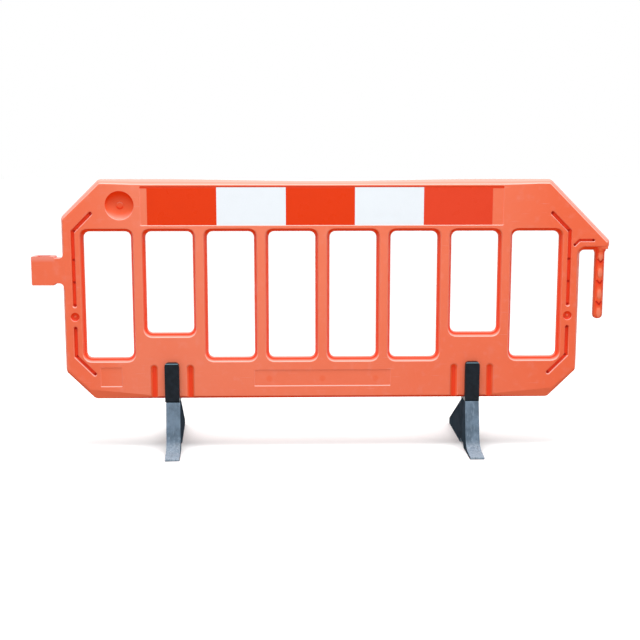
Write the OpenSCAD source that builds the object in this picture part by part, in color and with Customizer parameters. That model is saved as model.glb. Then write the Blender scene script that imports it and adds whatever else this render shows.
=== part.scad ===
// Pedestrian barrier panel, standing on two swivelling feet.
// X runs along the panel, the front faces -Y and Z is up. The origin is on the ground,
// under the middle of the panel.

/* [Panel] */
// Length of the panel body, between the outer edges of its end posts
panel_length = 1794; // [1760:2:1860]
// Height of the panel body, from its lower edge to its top edge
panel_height = 766; // [756:2:800]
// Depth of the panel body, from its front face to its rear face
panel_depth = 50; // [46:1:60]
// Height of the panel's lower edge above the ground
ground_gap = 180; // [170:1:220]
// Thickness of the moulded wall
wall = 4; // [3:0.5:5]
// Run of the chamfer at the top left corner
top_left_chamfer = 131; // [110:1:140]
// Run of the chamfer at the top right corner, down to the end post's outer edge
top_right_chamfer = 109; // [100:1:115]
// Run of the chamfer at the two lower corners
lower_chamfer = 100; // [80:1:110]
// Radius of the chamfers' corners at the parting line
outline_radius = 22; // [20:1:28]
// How far an edge leans in, from the parting line to where its lip begins
edge_lean = 12; // [8:1:14]
// Size of the rounded lip between an edge and the face
lip = 4; // [2:0.5:5]
// Radius of the drain holes in the lower edge
drain_radius = 4; // [3:0.5:6]
// Distance of the drain holes from the middle of the panel
drain_offset = 300; // [250:5:400]

/* [Openings] */
// Number of openings
opening_count = 8; // [6:2:8]
// Width of an end post, from the panel's end to the first opening
end_post = 75; // [72:1:84]
// Width of a post between two openings
post_width = 49.9; // [46:0.1:56]
// Height of the top rail, from the top edge to the openings
top_rail = 178; // [176:1:188]
// Height of the lower rail, from the lower edge to the openings
lower_rail = 148; // [144:1:164]
// Height of the lower rail under the short openings, above the feet
foot_rail = 235; // [210:1:260]
// Radius of an opening's corners at the parting line
opening_radius = 20; // [12:1:30]

/* [Stiffening grooves] */
// Width of a groove in the end posts
groove_width = 14; // [10:1:16]
// Depth of a groove
groove_depth = 9; // [5:0.5:10]
// Distance of the grooves from the end post's outer edge
groove_inset = 41; // [39:0.5:43]
// Depth of the curved groove in the lug
lug_groove_depth = 2.5; // [1:0.5:3]
// Radius of the round dimple between the two grooves of an end post
dimple_radius = 16; // [12:1:17]
// Depth of the dimple
dimple_depth = 8; // [4:0.5:10]
// Height of the dimple above the panel's lower edge
dimple_height = 293; // [285:1:300]
// Radius of the round dish in the top left corner
dish_radius = 48; // [40:1:52]
// Depth of the dish
dish_depth = 13; // [8:1:15]
// Distance of the dish's centre from the end post's outer edge
dish_inset = 203; // [195:1:212]
// Distance of the dish's centre below the top edge
dish_drop = 88; // [84:1:92]

/* [Reflective sheets] */
// Distance of the recess for the sheets from the panel's ends
recess_inset = 272; // [260:1:285]
// Distance from the openings' top edges up to the recess
recess_foot = 12; // [8:1:20]
// Depth of the recess
recess_depth = 2; // [1:0.1:2.5]
// Distance of the first sheet from the left end of the recess
sheet_left_gap = 25; // [10:1:40]
// Distance of the last sheet from the right end of the recess
sheet_right_gap = 40; // [10:1:50]
// Distance of a white sheet from the recess's upper and lower edge
white_gap = 7; // [3:0.5:12]
// Distance of a red sheet from the recess's upper and lower edge
red_gap = 10.5; // [3:0.5:14]
// Thickness of a sheet
sheet_thickness = 0.6; // [0.4:0.1:1]

/* [Lower rail] */
// Width of the shallow name recess in the lower rail
name_width = 480; // [400:5:520]
// Height of the name recess
name_height = 60; // [50:1:66]
// Width of the shallow date recess near the lower left corner
date_width = 78; // [60:1:80]
// Height of the date recess
date_height = 71; // [60:1:74]
// Depth of both recesses
name_depth = 1.2; // [0.6:0.1:1.5]
// Width of the upright grooves beside each foot
side_groove_width = 24; // [18:1:26]
// Depth of the upright grooves
side_groove_depth = 7; // [4:0.5:8]
// Length of the upright grooves
side_groove_length = 100; // [80:1:104]
// Distance of the upright grooves from the foot's axis
side_groove_offset = 63; // [56:1:70]

/* [Link] */
// How far the link socket reaches past the left end post
socket_reach = 103; // [100:1:110]
// Width of the socket's sleeve
sleeve_width = 78; // [74:1:80]
// Depth of the sleeve, front to rear
sleeve_depth = 58; // [54:1:64]
// Height of the sleeve
sleeve_height = 107; // [95:1:115]
// Height of the sleeve's centre above the panel's lower edge
socket_height = 452; // [440:1:465]
// Width of the hole through the sleeve
socket_width = 46; // [44:1:48]
// Depth of the hole through the sleeve, front to rear
socket_depth = 42; // [40:1:43]
// Height of the neck between the sleeve and the end post
neck_height = 86; // [76:1:92]
// How far the link lug reaches past the right end post
lug_reach = 103; // [98:1:112]
// Height of the lug's tip, between its underside and the chamfer
lug_tip_height = 33; // [32:1:40]
// Radius of the link pin
pin_radius = 18; // [16:0.5:19]
// Length of the link pin below the lug
pin_length = 241; // [200:1:260]
// Distance of the pin's axis from the lug's tip
pin_inset = 33; // [30:1:40]
// Width of the notches in the front and rear of the pin
pin_notch_width = 11; // [8:0.5:12]
// Depth of those notches
pin_notch_depth = 4; // [2:0.5:6]
// Distance from one notch to the next
pin_notch_pitch = 74; // [60:1:80]

/* [Foot brackets] */
// Distance of a foot's axis from the panel's end
foot_inset = 372; // [362:1:382]
// Width of a bracket
bracket_width = 50; // [46:1:56]
// Thickness of a bracket's front and rear arms
arm_thickness = 16; // [14:1:20]
// Height of the arms above the panel's lower edge
arm_height = 133; // [120:1:145]
// Thickness of the bracket under the panel's lower edge
saddle_thickness = 7.7; // [6:0.1:12]
// Radius of the arms' top corners, seen from the front
arm_corner = 12; // [6:1:18]
// Radius of the arms' outer top edges, seen from the side
arm_edge = 6; // [3:1:8]

/* [Feet] */
// Width of a foot
foot_width = 49; // [44:1:56]
// How far the front toe reaches from the foot's axis
toe_reach = 180; // [165:1:200]
// How far the heel reaches to the rear of the foot's axis
heel_reach = 335; // [310:1:360]
// Thickness of the toe near its tip
toe_thickness = 8; // [6:1:12]
// Height of the arch between the front sole and the rear sole
arch_height = 16; // [10:1:22]
// Where the arch starts, in front of the foot's axis
arch_front = 27; // [22:1:40]
// Where the arch ends, behind the foot's axis
arch_rear = 55; // [40:1:70]
// Turn of the left foot as it stands
left_turn = 3.5; // [-10:0.5:10]
// Turn of the right foot as it stands
right_turn = 0; // [-10:0.5:10]

/* [Fasteners] */
// Radius of the swivel bolt's shank
swivel_radius = 6; // [5:0.5:7]
// Width of the swivel nut and bolt head across the flats
swivel_flats = 18; // [16:1:20]
// Height of the swivel nut
swivel_nut_height = 11; // [9:0.5:13]
// Thickness of the foot above the swivel bolt's seat
swivel_grip = 40; // [30:1:50]
// Radius of the clamp bolt's shank
clamp_radius = 4; // [3:0.5:5]
// Width of the clamp nut and bolt head across the flats
clamp_flats = 13; // [11:0.5:15]
// Height of the clamp nut
clamp_nut_height = 6.5; // [5:0.5:7]
// Height of the clamp bolt above the panel's lower edge
clamp_height = 82; // [70:1:90]
// Thickness of the washers
washer_thickness = 2; // [1.5:0.1:3]

/* [Clearances] */
// Clearance between a bracket and the panel
seat_clearance = 0.2; // [0.1:0.05:0.3]
// Clearance between a foot and what it turns against
swivel_clearance = 0.3; // [0.2:0.05:0.5]
// Radial clearance of a foot on its swivel bolt
swivel_fit = 0.1; // [0.05:0.01:0.1]
// Radial clearance of a bolt in a fixed hole or nut
bolt_clearance = 0.2; // [0.1:0.05:0.4]

/* [Hidden] */
$fn = 48;

orange = [0.94, 0.40, 0.24];
red = [0.92, 0.25, 0.10];
white = [0.94, 0.96, 0.99];
black = [0.13, 0.15, 0.18];
grey = [0.40, 0.46, 0.52];
zinc = [0.75, 0.76, 0.78];

// Cutting tools reach this far past the faces that they cut
over = 1;
half_depth = panel_depth / 2;
end_x = panel_length / 2;
low_z = ground_gap;
top_z = ground_gap + panel_height;
face_inset = edge_lean + lip;
left_x = -end_x + foot_inset;
right_x = end_x - foot_inset;

// Unit vector along v
function unit(v) = v / norm(v);
// Quarter turn to the left, which points inwards along a ring that runs anticlockwise
function left_of(v) = [-v[1], v[0]];
// Point i of a closed ring
function at(ring, i) = ring[(i + len(ring)) % len(ring)];
// A ring moved inwards by d, with its corners mitred
function inset_ring(ring, d) = [for (i = [0 : len(ring) - 1])
    let (a = left_of(unit(at(ring, i) - at(ring, i - 1))), b = left_of(unit(at(ring, i + 1) - at(ring, i))))
    ring[i] + (a + b) * d / (1 + a * b)];
// Points of the arc of radius r that rounds the corner p between its two neighbours
function corner_arc(before, p, after, r, steps) =
    let (u = unit(before - p), v = unit(after - p), half = acos(u * v) / 2,
         centre = p + unit(u + v) * r / sin(half),
         from = p + u * r / tan(half) - centre, to = p + v * r / tan(half) - centre,
         start = atan2(from[1], from[0]), turn = atan2(to[1], to[0]) - start,
         sweep = turn > 180 ? turn - 360 : turn < -180 ? turn + 360 : turn)
    [for (k = [0 : steps]) let (t = start + sweep * k / steps) centre + r * [cos(t), sin(t)]];
// A ring whose corners are rounded with the given radii, where 0 keeps a corner sharp
function rounded_ring(ring, radii, steps) = [for (i = [0 : len(ring) - 1])
    each (radii[i] > 0 ? corner_arc(at(ring, i - 1), ring[i], at(ring, i + 1), radii[i], steps) : [ring[i]])];
// Corners of an upright rectangle, anticlockwise from its lower left
function rectangle(x0, z0, x1, z1) = [[x0, z0], [x1, z0], [x1, z1], [x0, z1]];
// How far the outer edge leans in at a distance y from the parting line
function lean_at(y) = edge_lean * y / (half_depth - lip);

// Where an edge stands at each depth: [y, how far in from the parting line]
outer_section = [[-half_depth, face_inset], [-(half_depth - lip), edge_lean], [0, 0],
    [half_depth - lip, edge_lean], [half_depth, face_inset]];
void_y = half_depth - wall;
void_section = [[-void_y, lean_at(void_y) + wall], [0, wall], [void_y, lean_at(void_y) + wall]];
opening_section = [[-half_depth - over, -face_inset], [-half_depth, -face_inset],
    [-(half_depth - lip), -edge_lean], [0, 0], [half_depth - lip, -edge_lean],
    [half_depth, -face_inset], [half_depth + over, -face_inset]];
void_opening_section = [[-half_depth, -lean_at(half_depth) - wall], [0, -wall],
    [half_depth, -lean_at(half_depth) - wall]];

// Solid through a ring of [x, z] points that is inset as the section says at each depth.
// A ring that isn't convex gives the pieces of its end faces, each as a fan from its first point.
module loft(ring, section, pieces = undef) {
    n = len(ring);
    last = len(section) - 1;
    rings = [for (s = section) [for (p = inset_ring(ring, s[1])) [p[0], s[0], p[1]]]];
    sides = [for (k = [0 : last - 1]) for (i = [0 : n - 1])
        let (a = k * n + i, b = k * n + (i + 1) % n)
        each [[a, b, b + n], [a, b + n, a + n]]];
    fans = is_undef(pieces) ? [[for (i = [0 : n - 1]) i]] : pieces;
    front = [for (f = fans) [for (k = [0 : len(f) - 1]) f[k == 0 ? 0 : len(f) - k]]];
    rear = [for (f = fans) [for (i = f) last * n + i]];
    polyhedron(points = [for (r = rings) each r], faces = concat(sides, front, rear));
}

// Shape drawn in [x, z] and raised by depth from the front face into the panel
module from_front(depth) {
    translate([0, -half_depth - over, 0])
        rotate([90, 0, 0]) mirror([0, 0, 1]) linear_extrude(depth + over) children();
}

// Outline of a groove along a path of points, with mitred bends and round ends
groove_end_steps = 6;
function heading(v) = atan2(v[1], v[0]);
function round_end(p, radius, start) = [for (k = [0 : groove_end_steps])
    let (t = start + 180 * k / groove_end_steps) p + radius * [cos(t), sin(t)]];
function bend_point(path, i, reach) =
    let (a = left_of(unit(path[i] - path[i - 1])), b = left_of(unit(path[i + 1] - path[i])))
    path[i] + (a + b) * reach / (1 + a * b);
function groove_ring(path, width) =
    let (last = len(path) - 1, r = width / 2,
         first_way = heading(path[1] - path[0]), last_way = heading(path[last] - path[last - 1]),
         bends = last > 1 ? [1 : last - 1] : [], bends_back = last > 1 ? [last - 1 : -1 : 1] : [])
    concat(round_end(path[0], r, first_way + 90), [for (i = bends) bend_point(path, i, -r)],
        round_end(path[last], r, last_way - 90), [for (i = bends_back) bend_point(path, i, r)]);
module groove_2d(path, width) { polygon(groove_ring(path, width)); }

// Heights and reaches of the link parts
lug_tip_x = end_x + lug_reach;
lug_z = top_z - top_right_chamfer - lug_reach - lug_tip_height;
lug_fillet = 22;
// An edge's corners are rounder at the parting line than at the face, where this radius is left
face_corner = 4;
lug_corner = face_inset + face_corner;
sleeve_x = -end_x - socket_reach + sleeve_width / 2;
neck_low_z = low_z + socket_height - neck_height / 2;
neck_top_z = neck_low_z + neck_height;

// The outline at the parting line, anticlockwise from the lower left, with the radius of each corner.
// The lug carries the top right chamfer on past the end post, and the neck carries the socket.
outline_steps = 3;
outline_corners = [
    [[-end_x + lower_chamfer, low_z], outline_radius], [[end_x - lower_chamfer, low_z], outline_radius],
    [[end_x, low_z + lower_chamfer], outline_radius], [[end_x, lug_z], lug_fillet],
    [[lug_tip_x, lug_z], lug_corner], [[lug_tip_x, lug_z + lug_tip_height], lug_corner],
    [[end_x, top_z - top_right_chamfer], 0], [[end_x - top_right_chamfer, top_z], outline_radius],
    [[-end_x + top_left_chamfer, top_z], outline_radius],
    [[-end_x, top_z - top_left_chamfer], outline_radius],
    [[-end_x, neck_top_z], 0], [[sleeve_x, neck_top_z], 0], [[sleeve_x, neck_low_z], 0],
    [[-end_x, neck_low_z], 0], [[-end_x, low_z + lower_chamfer], outline_radius]];
outline_ring = rounded_ring([for (c = outline_corners) c[0]],
    [for (c = outline_corners) c[1]], outline_steps);
// Index of the first ring point of corner k
function first_point(k) = k == 0 ? 0
    : first_point(k - 1) + (outline_corners[k - 1][1] > 0 ? outline_steps + 1 : 1);
body_piece = [for (i = [0 : len(outline_ring) - 1])
    if (i <= first_point(3) || (i >= first_point(6) && i <= first_point(10)) || i >= first_point(13)) i];
lug_piece = [first_point(6), for (i = [first_point(3) : first_point(6) - 1]) i];
neck_piece = [for (i = [first_point(10) : first_point(13)]) i];

// The same outline without the link parts, which are solid
hollow_ring = rounded_ring([for (k = [0, 1, 2, 6, 7, 8, 9, 14]) outline_corners[k][0]],
    [for (k = [1 : 8]) outline_radius], outline_steps);

// The openings share the length that the posts leave. The opening above each foot is the short one.
posts_length = 2 * end_post + (opening_count - 1) * post_width;
opening_width = (panel_length - posts_length) / opening_count;
opening_pitch = opening_width + post_width;
opening_top_z = top_z - top_rail;
function opening_centre(i) = (i - (opening_count - 1) / 2) * opening_pitch;
function above_foot(i) = abs(abs(opening_centre(i)) - right_x) < opening_pitch / 2;
function opening_low_z(i) = low_z + (above_foot(i) ? foot_rail : lower_rail);
function opening_ring(i) = rounded_ring(
    rectangle(opening_centre(i) - opening_width / 2, opening_low_z(i),
        opening_centre(i) + opening_width / 2, opening_top_z),
    [for (k = [1 : 4]) opening_radius], 4);

// The pin hangs from the lug
pin_x = lug_tip_x - pin_inset;
pin_end_z = lug_z - pin_length;

module pin_notches() {
    notch_height = 12;
    last_notch = 2;
    top_notch_z = lug_z - pin_length / 5;
    for (k = [0 : last_notch]) for (side = [-1, 1])
        translate([pin_x, side * (pin_radius - pin_notch_depth), top_notch_z - k * pin_notch_pitch])
            rotate([side * -90, 0, 0])
                linear_extrude(pin_notch_depth + over)
                    polygon([[-pin_notch_width / 2, -side * notch_height / 2],
                        [pin_notch_width / 2, -side * notch_height / 2], [0, side * notch_height / 2]]);
}

// The pin widens into the lug at its root and is round at its free end
module link_pin() {
    end_round = pin_radius / 2;
    root_height = 10;
    root_flare = 4;
    root = pin_length - root_height;
    difference() {
        translate([pin_x, 0, pin_end_z]) rotate_extrude()
            union() {
                translate([0, end_round]) square([pin_radius, root - end_round]);
                square([pin_radius - end_round, end_round * 2]);
                translate([pin_radius - end_round, end_round]) circle(end_round);
                polygon([[0, root], [pin_radius, root],
                    [pin_radius + root_flare, pin_length + face_inset], [0, pin_length + face_inset]]);
            }
        pin_notches();
    }
}

// The socket's sleeve stands on the end of the neck, and its hole runs straight down through it
sleeve_z = low_z + socket_height - sleeve_height / 2;
sleeve_corner = 9;
socket_corner = 8;

module rounded_rectangle_2d(width, depth, radius) {
    square([width - 2 * radius, depth], center = true);
    square([width, depth - 2 * radius], center = true);
    for (x = [-1, 1]) for (y = [-1, 1])
        translate([x * (width / 2 - radius), y * (depth / 2 - radius)]) circle(radius);
}

module sleeve() {
    translate([sleeve_x, 0, sleeve_z]) linear_extrude(sleeve_height)
        rounded_rectangle_2d(sleeve_width, sleeve_depth, sleeve_corner);
}

module socket_hole() {
    translate([sleeve_x, 0, sleeve_z - over]) linear_extrude(sleeve_height + 2 * over)
        rounded_rectangle_2d(socket_width, socket_depth, socket_corner);
}

// Ends and bends of the grooves, on the left end post. Each groove bends at some distance from
// the chamfer, runs on at 45 degrees, and ends at some distance from the dimple.
groove_x = end_x - groove_inset;
groove_run = 60;
groove_gap = 42;
upper_bend_drop = 45;
lower_bend_rise = 57;
upper_groove_bend_z = top_z - top_left_chamfer - upper_bend_drop;
lower_groove_bend_z = low_z + lower_chamfer + lower_bend_rise;

module end_grooves_2d(width) {
    dimple_z = low_z + dimple_height;
    groove_2d([[-groove_x, dimple_z + groove_gap], [-groove_x, upper_groove_bend_z],
        [-groove_x + groove_run, upper_groove_bend_z + groove_run]], width);
    groove_2d([[-groove_x, dimple_z - groove_gap], [-groove_x, lower_groove_bend_z],
        [-groove_x + groove_run, lower_groove_bend_z - groove_run]], width);
}

module lug_groove_2d(width) {
    rise = 38;
    dip = 9;
    start_x = end_x - 13;
    bend_x = end_x;
    tip_gap = 58;
    groove_2d([[start_x, lug_z + rise - dip], [bend_x, lug_z + rise],
        [lug_tip_x - tip_gap, lug_z + rise]], width);
}

module side_grooves_2d(width) {
    foot = low_z + face_inset + side_groove_width / 2;
    for (x = [left_x, right_x]) for (side = [-1, 1])
        groove_2d([[x + side * side_groove_offset, foot],
            [x + side * side_groove_offset, low_z + side_groove_length + side_groove_width / 2]], width);
}

// What is pressed deep into the front face. The hollow stays a wall behind it, so it grows by that wall.
module deep_relief(grow) {
    from_front(groove_depth + grow) union() {
        end_grooves_2d(groove_width + 2 * grow);
        mirror([1, 0]) end_grooves_2d(groove_width + 2 * grow);
    }
    from_front(side_groove_depth + grow) side_grooves_2d(side_groove_width + 2 * grow);
    for (side = [-1, 1])
        translate([side * groove_x, -half_depth - over, low_z + dimple_height]) rotate([-90, 0, 0])
            cylinder(h = dimple_depth + grow + over,
                r1 = dimple_radius + grow, r2 = dimple_radius / 2 + grow);
    ball = (dish_radius * dish_radius + dish_depth * dish_depth) / (2 * dish_depth);
    translate([-end_x + dish_inset, -half_depth + dish_depth - ball, top_z - dish_drop]) sphere(ball + grow);
}

// Where the shallow recesses lie
recess_rim = 4;
name_rise = 43;
date_run = 121;
date_rise = 45;
recess_width = panel_length - 2 * recess_inset;
recess_height = top_rail - recess_foot - face_inset - recess_rim;
recess_z = opening_top_z + recess_foot;
name_z = low_z + name_rise;
date_x = -end_x + date_run;
date_z = low_z + date_rise;

// Shallow recesses, which leave most of the wall
module shallow_relief() {
    from_front(recess_depth) translate([-recess_width / 2, recess_z]) square([recess_width, recess_height]);
    from_front(name_depth) translate([-name_width / 2, name_z]) square([name_width, name_height]);
    from_front(name_depth) translate([date_x, date_z]) square([date_width, date_height]);
    from_front(lug_groove_depth) lug_groove_2d(groove_width);
}

module both_faces() {
    children();
    mirror([0, 1, 0]) children();
}

// Pockets in the lower edge for the swivel nuts, and holes through the rail for the clamp bolts
nut_side_room = 2;
nut_top_room = 8;
nut_pocket_radius = swivel_flats / 2 / cos(30) + nut_side_room;
nut_pocket_height = swivel_nut_height + nut_top_room;
clamp_z = low_z + clamp_height;

module foot_fixings(grow) {
    for (x = [left_x, right_x]) {
        translate([x, 0, low_z - over])
            cylinder(h = nut_pocket_height + over + grow, r = nut_pocket_radius + grow);
        translate([x, 0, clamp_z]) rotate([90, 0, 0])
            cylinder(h = panel_depth + 2 * over, r = clamp_radius + bolt_clearance + grow, center = true);
    }
}

// Holes that let water out of the hollow
module drain_holes() {
    for (side = [-1, 1])
        translate([side * drain_offset, 0, low_z - over])
            cylinder(h = 2 * wall + drain_radius, r = drain_radius);
}

// The hollow inside the moulding
module hollow() {
    difference() {
        loft(hollow_ring, void_section);
        for (i = [0 : opening_count - 1])
            loft(opening_ring(i), void_opening_section);
        both_faces() deep_relief(wall);
        foot_fixings(wall);
        both_faces() from_front(recess_depth + wall)
            translate([-recess_width / 2 - wall, recess_z - wall])
                square([recess_width + 2 * wall, recess_height + 2 * wall]);
    }
}

module moulding() {
    difference() {
        union() {
            loft(outline_ring, outer_section, [body_piece, lug_piece, neck_piece]);
            sleeve();
        }
        for (i = [0 : opening_count - 1])
            loft(opening_ring(i), opening_section);
        both_faces() deep_relief(0);
        both_faces() shallow_relief();
        socket_hole();
        foot_fixings(0);
        drain_holes();
        hollow();
    }
}

// The pin is moulded onto the lug as one solid with the rest
module panel() {
    color(orange) union() {
        moulding();
        link_pin();
    }
}

// Sheet k from the left, on the front (side = -1) or the rear (side = 1)
sheets_in_row = 5;
sheet_width = (recess_width - sheet_left_gap - sheet_right_gap) / sheets_in_row;

module sheet(k, gap, side) {
    floor_y = half_depth - recess_depth;
    x = -recess_width / 2 + sheet_left_gap + k * sheet_width;
    y = side < 0 ? -floor_y - sheet_thickness : floor_y;
    translate([x, y, recess_z + gap]) cube([sheet_width, sheet_thickness, recess_height - 2 * gap]);
}

module red_sheet(k, side) { color(red) sheet(k, red_gap, side); }
module white_sheet(k, side) { color(white) sheet(k, white_gap, side); }

// Heights along the swivel bolt
saddle_z = low_z - saddle_thickness;
foot_top_z = saddle_z - swivel_clearance;
swivel_seat_z = foot_top_z - swivel_grip;
swivel_head_z = swivel_seat_z - swivel_clearance - washer_thickness;
nut_seat_z = low_z;
swivel_head_height = 7.5;
bolt_end_length = 3;
spanner_room = 4;
counterbore_radius = swivel_flats / 2 / cos(30) + spanner_room;
arm_face_y = half_depth + seat_clearance + arm_thickness;

// Section of the rail that a bracket wraps, with its clearance, drawn in [y, z]
module rail_section_2d() {
    c = seat_clearance;
    half = [[half_depth - lip + c, low_z + edge_lean - c], [half_depth + c, low_z + face_inset - c],
        [half_depth + c, top_z]];
    polygon(concat([[0, low_z - c]], half, [for (k = [2 : -1 : 0]) [-half[k][0], half[k][1]]]));
}

module bracket_section_2d() {
    outline = rectangle(-arm_face_y, saddle_z, arm_face_y, low_z + arm_height);
    difference() {
        polygon(rounded_ring(outline, [arm_edge, arm_edge, arm_edge, arm_edge], 4));
        rail_section_2d();
    }
}

module bracket() {
    pocket_y = half_depth + seat_clearance;
    nut_corner = clamp_flats / 2 / cos(30) + bolt_clearance;
    skin = 5;
    difference() {
        intersection() {
            rotate([90, 0, 90]) linear_extrude(bracket_width, center = true) bracket_section_2d();
            rotate([90, 0, 0]) linear_extrude(2 * arm_face_y + 2 * over, center = true)
                polygon(rounded_ring(rectangle(-bracket_width / 2, saddle_z - over,
                    bracket_width / 2, low_z + arm_height), [0, 0, arm_corner, arm_corner], 4));
        }
        translate([0, 0, saddle_z - over]) cylinder(h = low_z, r = swivel_radius + bolt_clearance);
        translate([0, 0, nut_seat_z]) cylinder(h = nut_pocket_height, r = nut_pocket_radius);
        translate([0, -arm_face_y + skin, clamp_z]) rotate([-90, 0, 0])
            cylinder(h = 2 * arm_face_y, r = clamp_radius + bolt_clearance);
        translate([0, -pocket_y - clamp_nut_height - bolt_clearance, clamp_z]) rotate([-90, 0, 0])
            cylinder(h = clamp_nut_height + bolt_clearance + over, r = nut_corner, $fn = 6);
    }
}

module left_bracket() { color(black) translate([left_x, 0, 0]) bracket(); }
module right_bracket() { color(black) translate([right_x, 0, 0]) bracket(); }

// Side view of a foot, drawn in [y, z]: a steep front leg with a flat toe, and a long sloping heel
nose_radius = 3;
instep_radius = 60;
instep_y = -76;
instep_z = 16;
shoulder_drop = 12;
heel_radius = 9;
heel_thickness = 22;

function foot_ring() = rounded_ring(
    [[-toe_reach, 0], [-arch_front, 0], [-arch_front + arch_height / 2, arch_height],
        [arch_rear - arch_height / 2, arch_height], [arch_rear, 0], [heel_reach, 0],
        [heel_reach - heel_thickness / 3, heel_thickness],
        [arm_face_y + shoulder_drop / 2, foot_top_z - shoulder_drop],
        [arm_face_y, foot_top_z], [-arm_face_y, foot_top_z],
        [instep_y, instep_z], [-toe_reach, toe_thickness]],
    [nose_radius, nose_radius, nose_radius, nose_radius, nose_radius, heel_radius,
        heel_radius, 0, nose_radius, nose_radius, instep_radius, nose_radius], 4);

module foot() {
    difference() {
        rotate([90, 0, 90]) linear_extrude(foot_width, center = true) polygon(foot_ring());
        translate([0, 0, arch_height - over]) cylinder(h = foot_top_z, r = swivel_radius + swivel_fit);
        translate([0, 0, arch_height - over])
            cylinder(h = swivel_seat_z - arch_height + over, r = counterbore_radius);
    }
}

module left_foot() { color(grey) translate([left_x, 0, 0]) rotate(left_turn) foot(); }
module right_foot() { color(grey) translate([right_x, 0, 0]) rotate(right_turn) foot(); }

module at_both_feet() {
    for (x = [left_x, right_x]) translate([x, 0, 0]) children();
}

module hexagon(flats, height) { cylinder(h = height, r = flats / 2 / cos(30), $fn = 6); }

module ring_washer(shank, height) {
    difference() {
        cylinder(h = height, r = shank * 2);
        translate([0, 0, -over]) cylinder(h = height + 2 * over, r = shank + bolt_clearance);
    }
}

module nut(flats, shank, height) {
    difference() {
        hexagon(flats, height);
        translate([0, 0, -over]) cylinder(h = height + 2 * over, r = shank + bolt_clearance);
    }
}

module swivel_bolts() {
    shank_length = nut_seat_z + swivel_nut_height + bolt_end_length - swivel_head_z;
    color(zinc) at_both_feet() translate([0, 0, swivel_head_z]) {
        translate([0, 0, -swivel_head_height]) hexagon(swivel_flats, swivel_head_height);
        cylinder(h = shank_length, r = swivel_radius);
    }
}

module swivel_washers() {
    color(zinc) at_both_feet() translate([0, 0, swivel_head_z]) ring_washer(swivel_radius, washer_thickness);
}

module swivel_nuts() {
    color(zinc) at_both_feet() translate([0, 0, nut_seat_z])
        nut(swivel_flats, swivel_radius, swivel_nut_height);
}

// The clamp bolt enters from the rear arm and ends in the nut that the front arm holds
clamp_head_height = 5.5;

module at_clamps(y) {
    at_both_feet() translate([0, y, clamp_z]) rotate([-90, 0, 0]) children();
}

module clamp_bolts() {
    tip_y = -half_depth - seat_clearance - clamp_nut_height - bolt_end_length;
    head_y = arm_face_y + washer_thickness;
    color(zinc) union() {
        at_clamps(tip_y) cylinder(h = head_y - tip_y, r = clamp_radius);
        at_clamps(head_y) hexagon(clamp_flats, clamp_head_height);
    }
}

module clamp_washers() { color(zinc) at_clamps(arm_face_y) ring_washer(clamp_radius, washer_thickness); }

module clamp_nuts() {
    color(zinc) at_clamps(-half_depth - seat_clearance - clamp_nut_height)
        nut(clamp_flats, clamp_radius, clamp_nut_height);
}

panel();
red_sheet(0, -1);  // front_red_sheet_left
white_sheet(1, -1);  // front_white_sheet_left
red_sheet(2, -1);  // front_red_sheet_middle
white_sheet(3, -1);  // front_white_sheet_right
red_sheet(4, -1);  // front_red_sheet_right
red_sheet(0, 1);  // rear_red_sheet_left
white_sheet(1, 1);  // rear_white_sheet_left
red_sheet(2, 1);  // rear_red_sheet_middle
white_sheet(3, 1);  // rear_white_sheet_right
red_sheet(4, 1);  // rear_red_sheet_right
left_bracket();
right_bracket();
left_foot();
right_foot();
swivel_bolts();
swivel_washers();
swivel_nuts();
clamp_bolts();
clamp_washers();
clamp_nuts();
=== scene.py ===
# %% [markdown]
# # A barrier panel for a footpath
# The solids of the panel come in first and stay where they are. New pieces are modelled over the solids
# whose looks need more than a solid gives. Each one moves with the same body as the solid that it stands
# for.

# %% Load the solids
from math import cos, pi, radians, sqrt, tan

import bmesh
import bpy
from mathutils import Matrix, Vector


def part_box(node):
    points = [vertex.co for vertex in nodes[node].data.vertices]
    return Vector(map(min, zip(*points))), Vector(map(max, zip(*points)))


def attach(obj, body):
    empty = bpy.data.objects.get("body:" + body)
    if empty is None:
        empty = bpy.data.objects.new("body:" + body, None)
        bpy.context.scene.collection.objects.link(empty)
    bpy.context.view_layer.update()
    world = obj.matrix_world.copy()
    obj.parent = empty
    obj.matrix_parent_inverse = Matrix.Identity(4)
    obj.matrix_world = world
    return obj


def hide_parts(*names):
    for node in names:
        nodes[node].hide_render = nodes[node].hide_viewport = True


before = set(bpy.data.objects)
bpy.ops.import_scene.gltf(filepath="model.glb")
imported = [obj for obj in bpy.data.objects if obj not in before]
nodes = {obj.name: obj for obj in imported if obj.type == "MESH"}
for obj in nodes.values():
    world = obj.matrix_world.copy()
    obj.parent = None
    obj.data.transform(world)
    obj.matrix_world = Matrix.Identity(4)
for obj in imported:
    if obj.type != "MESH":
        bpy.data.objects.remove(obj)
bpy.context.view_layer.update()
mm = 0.001
panel_low, panel_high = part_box("panel")
print("panel from", panel_low, "to", panel_high)

# %% [markdown]
# ## Working as by hand
# Every operator acts on what is selected. These helpers open one piece alone in edit mode and pick its
# corners, edges or faces by where they are, which is what a click with the mouse would do.

# %% Helpers for selecting
near = 0.2 * mm


def choose(piece):
    """Select one piece alone."""
    bpy.ops.object.select_all(action="DESELECT")
    piece.select_set(True)
    bpy.context.view_layer.objects.active = piece


def edit(piece):
    """Open one piece alone in edit mode."""
    choose(piece)
    bpy.ops.object.mode_set(mode="EDIT")


def leave():
    """Go back to object mode."""
    bpy.ops.object.mode_set(mode="OBJECT")


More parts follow.
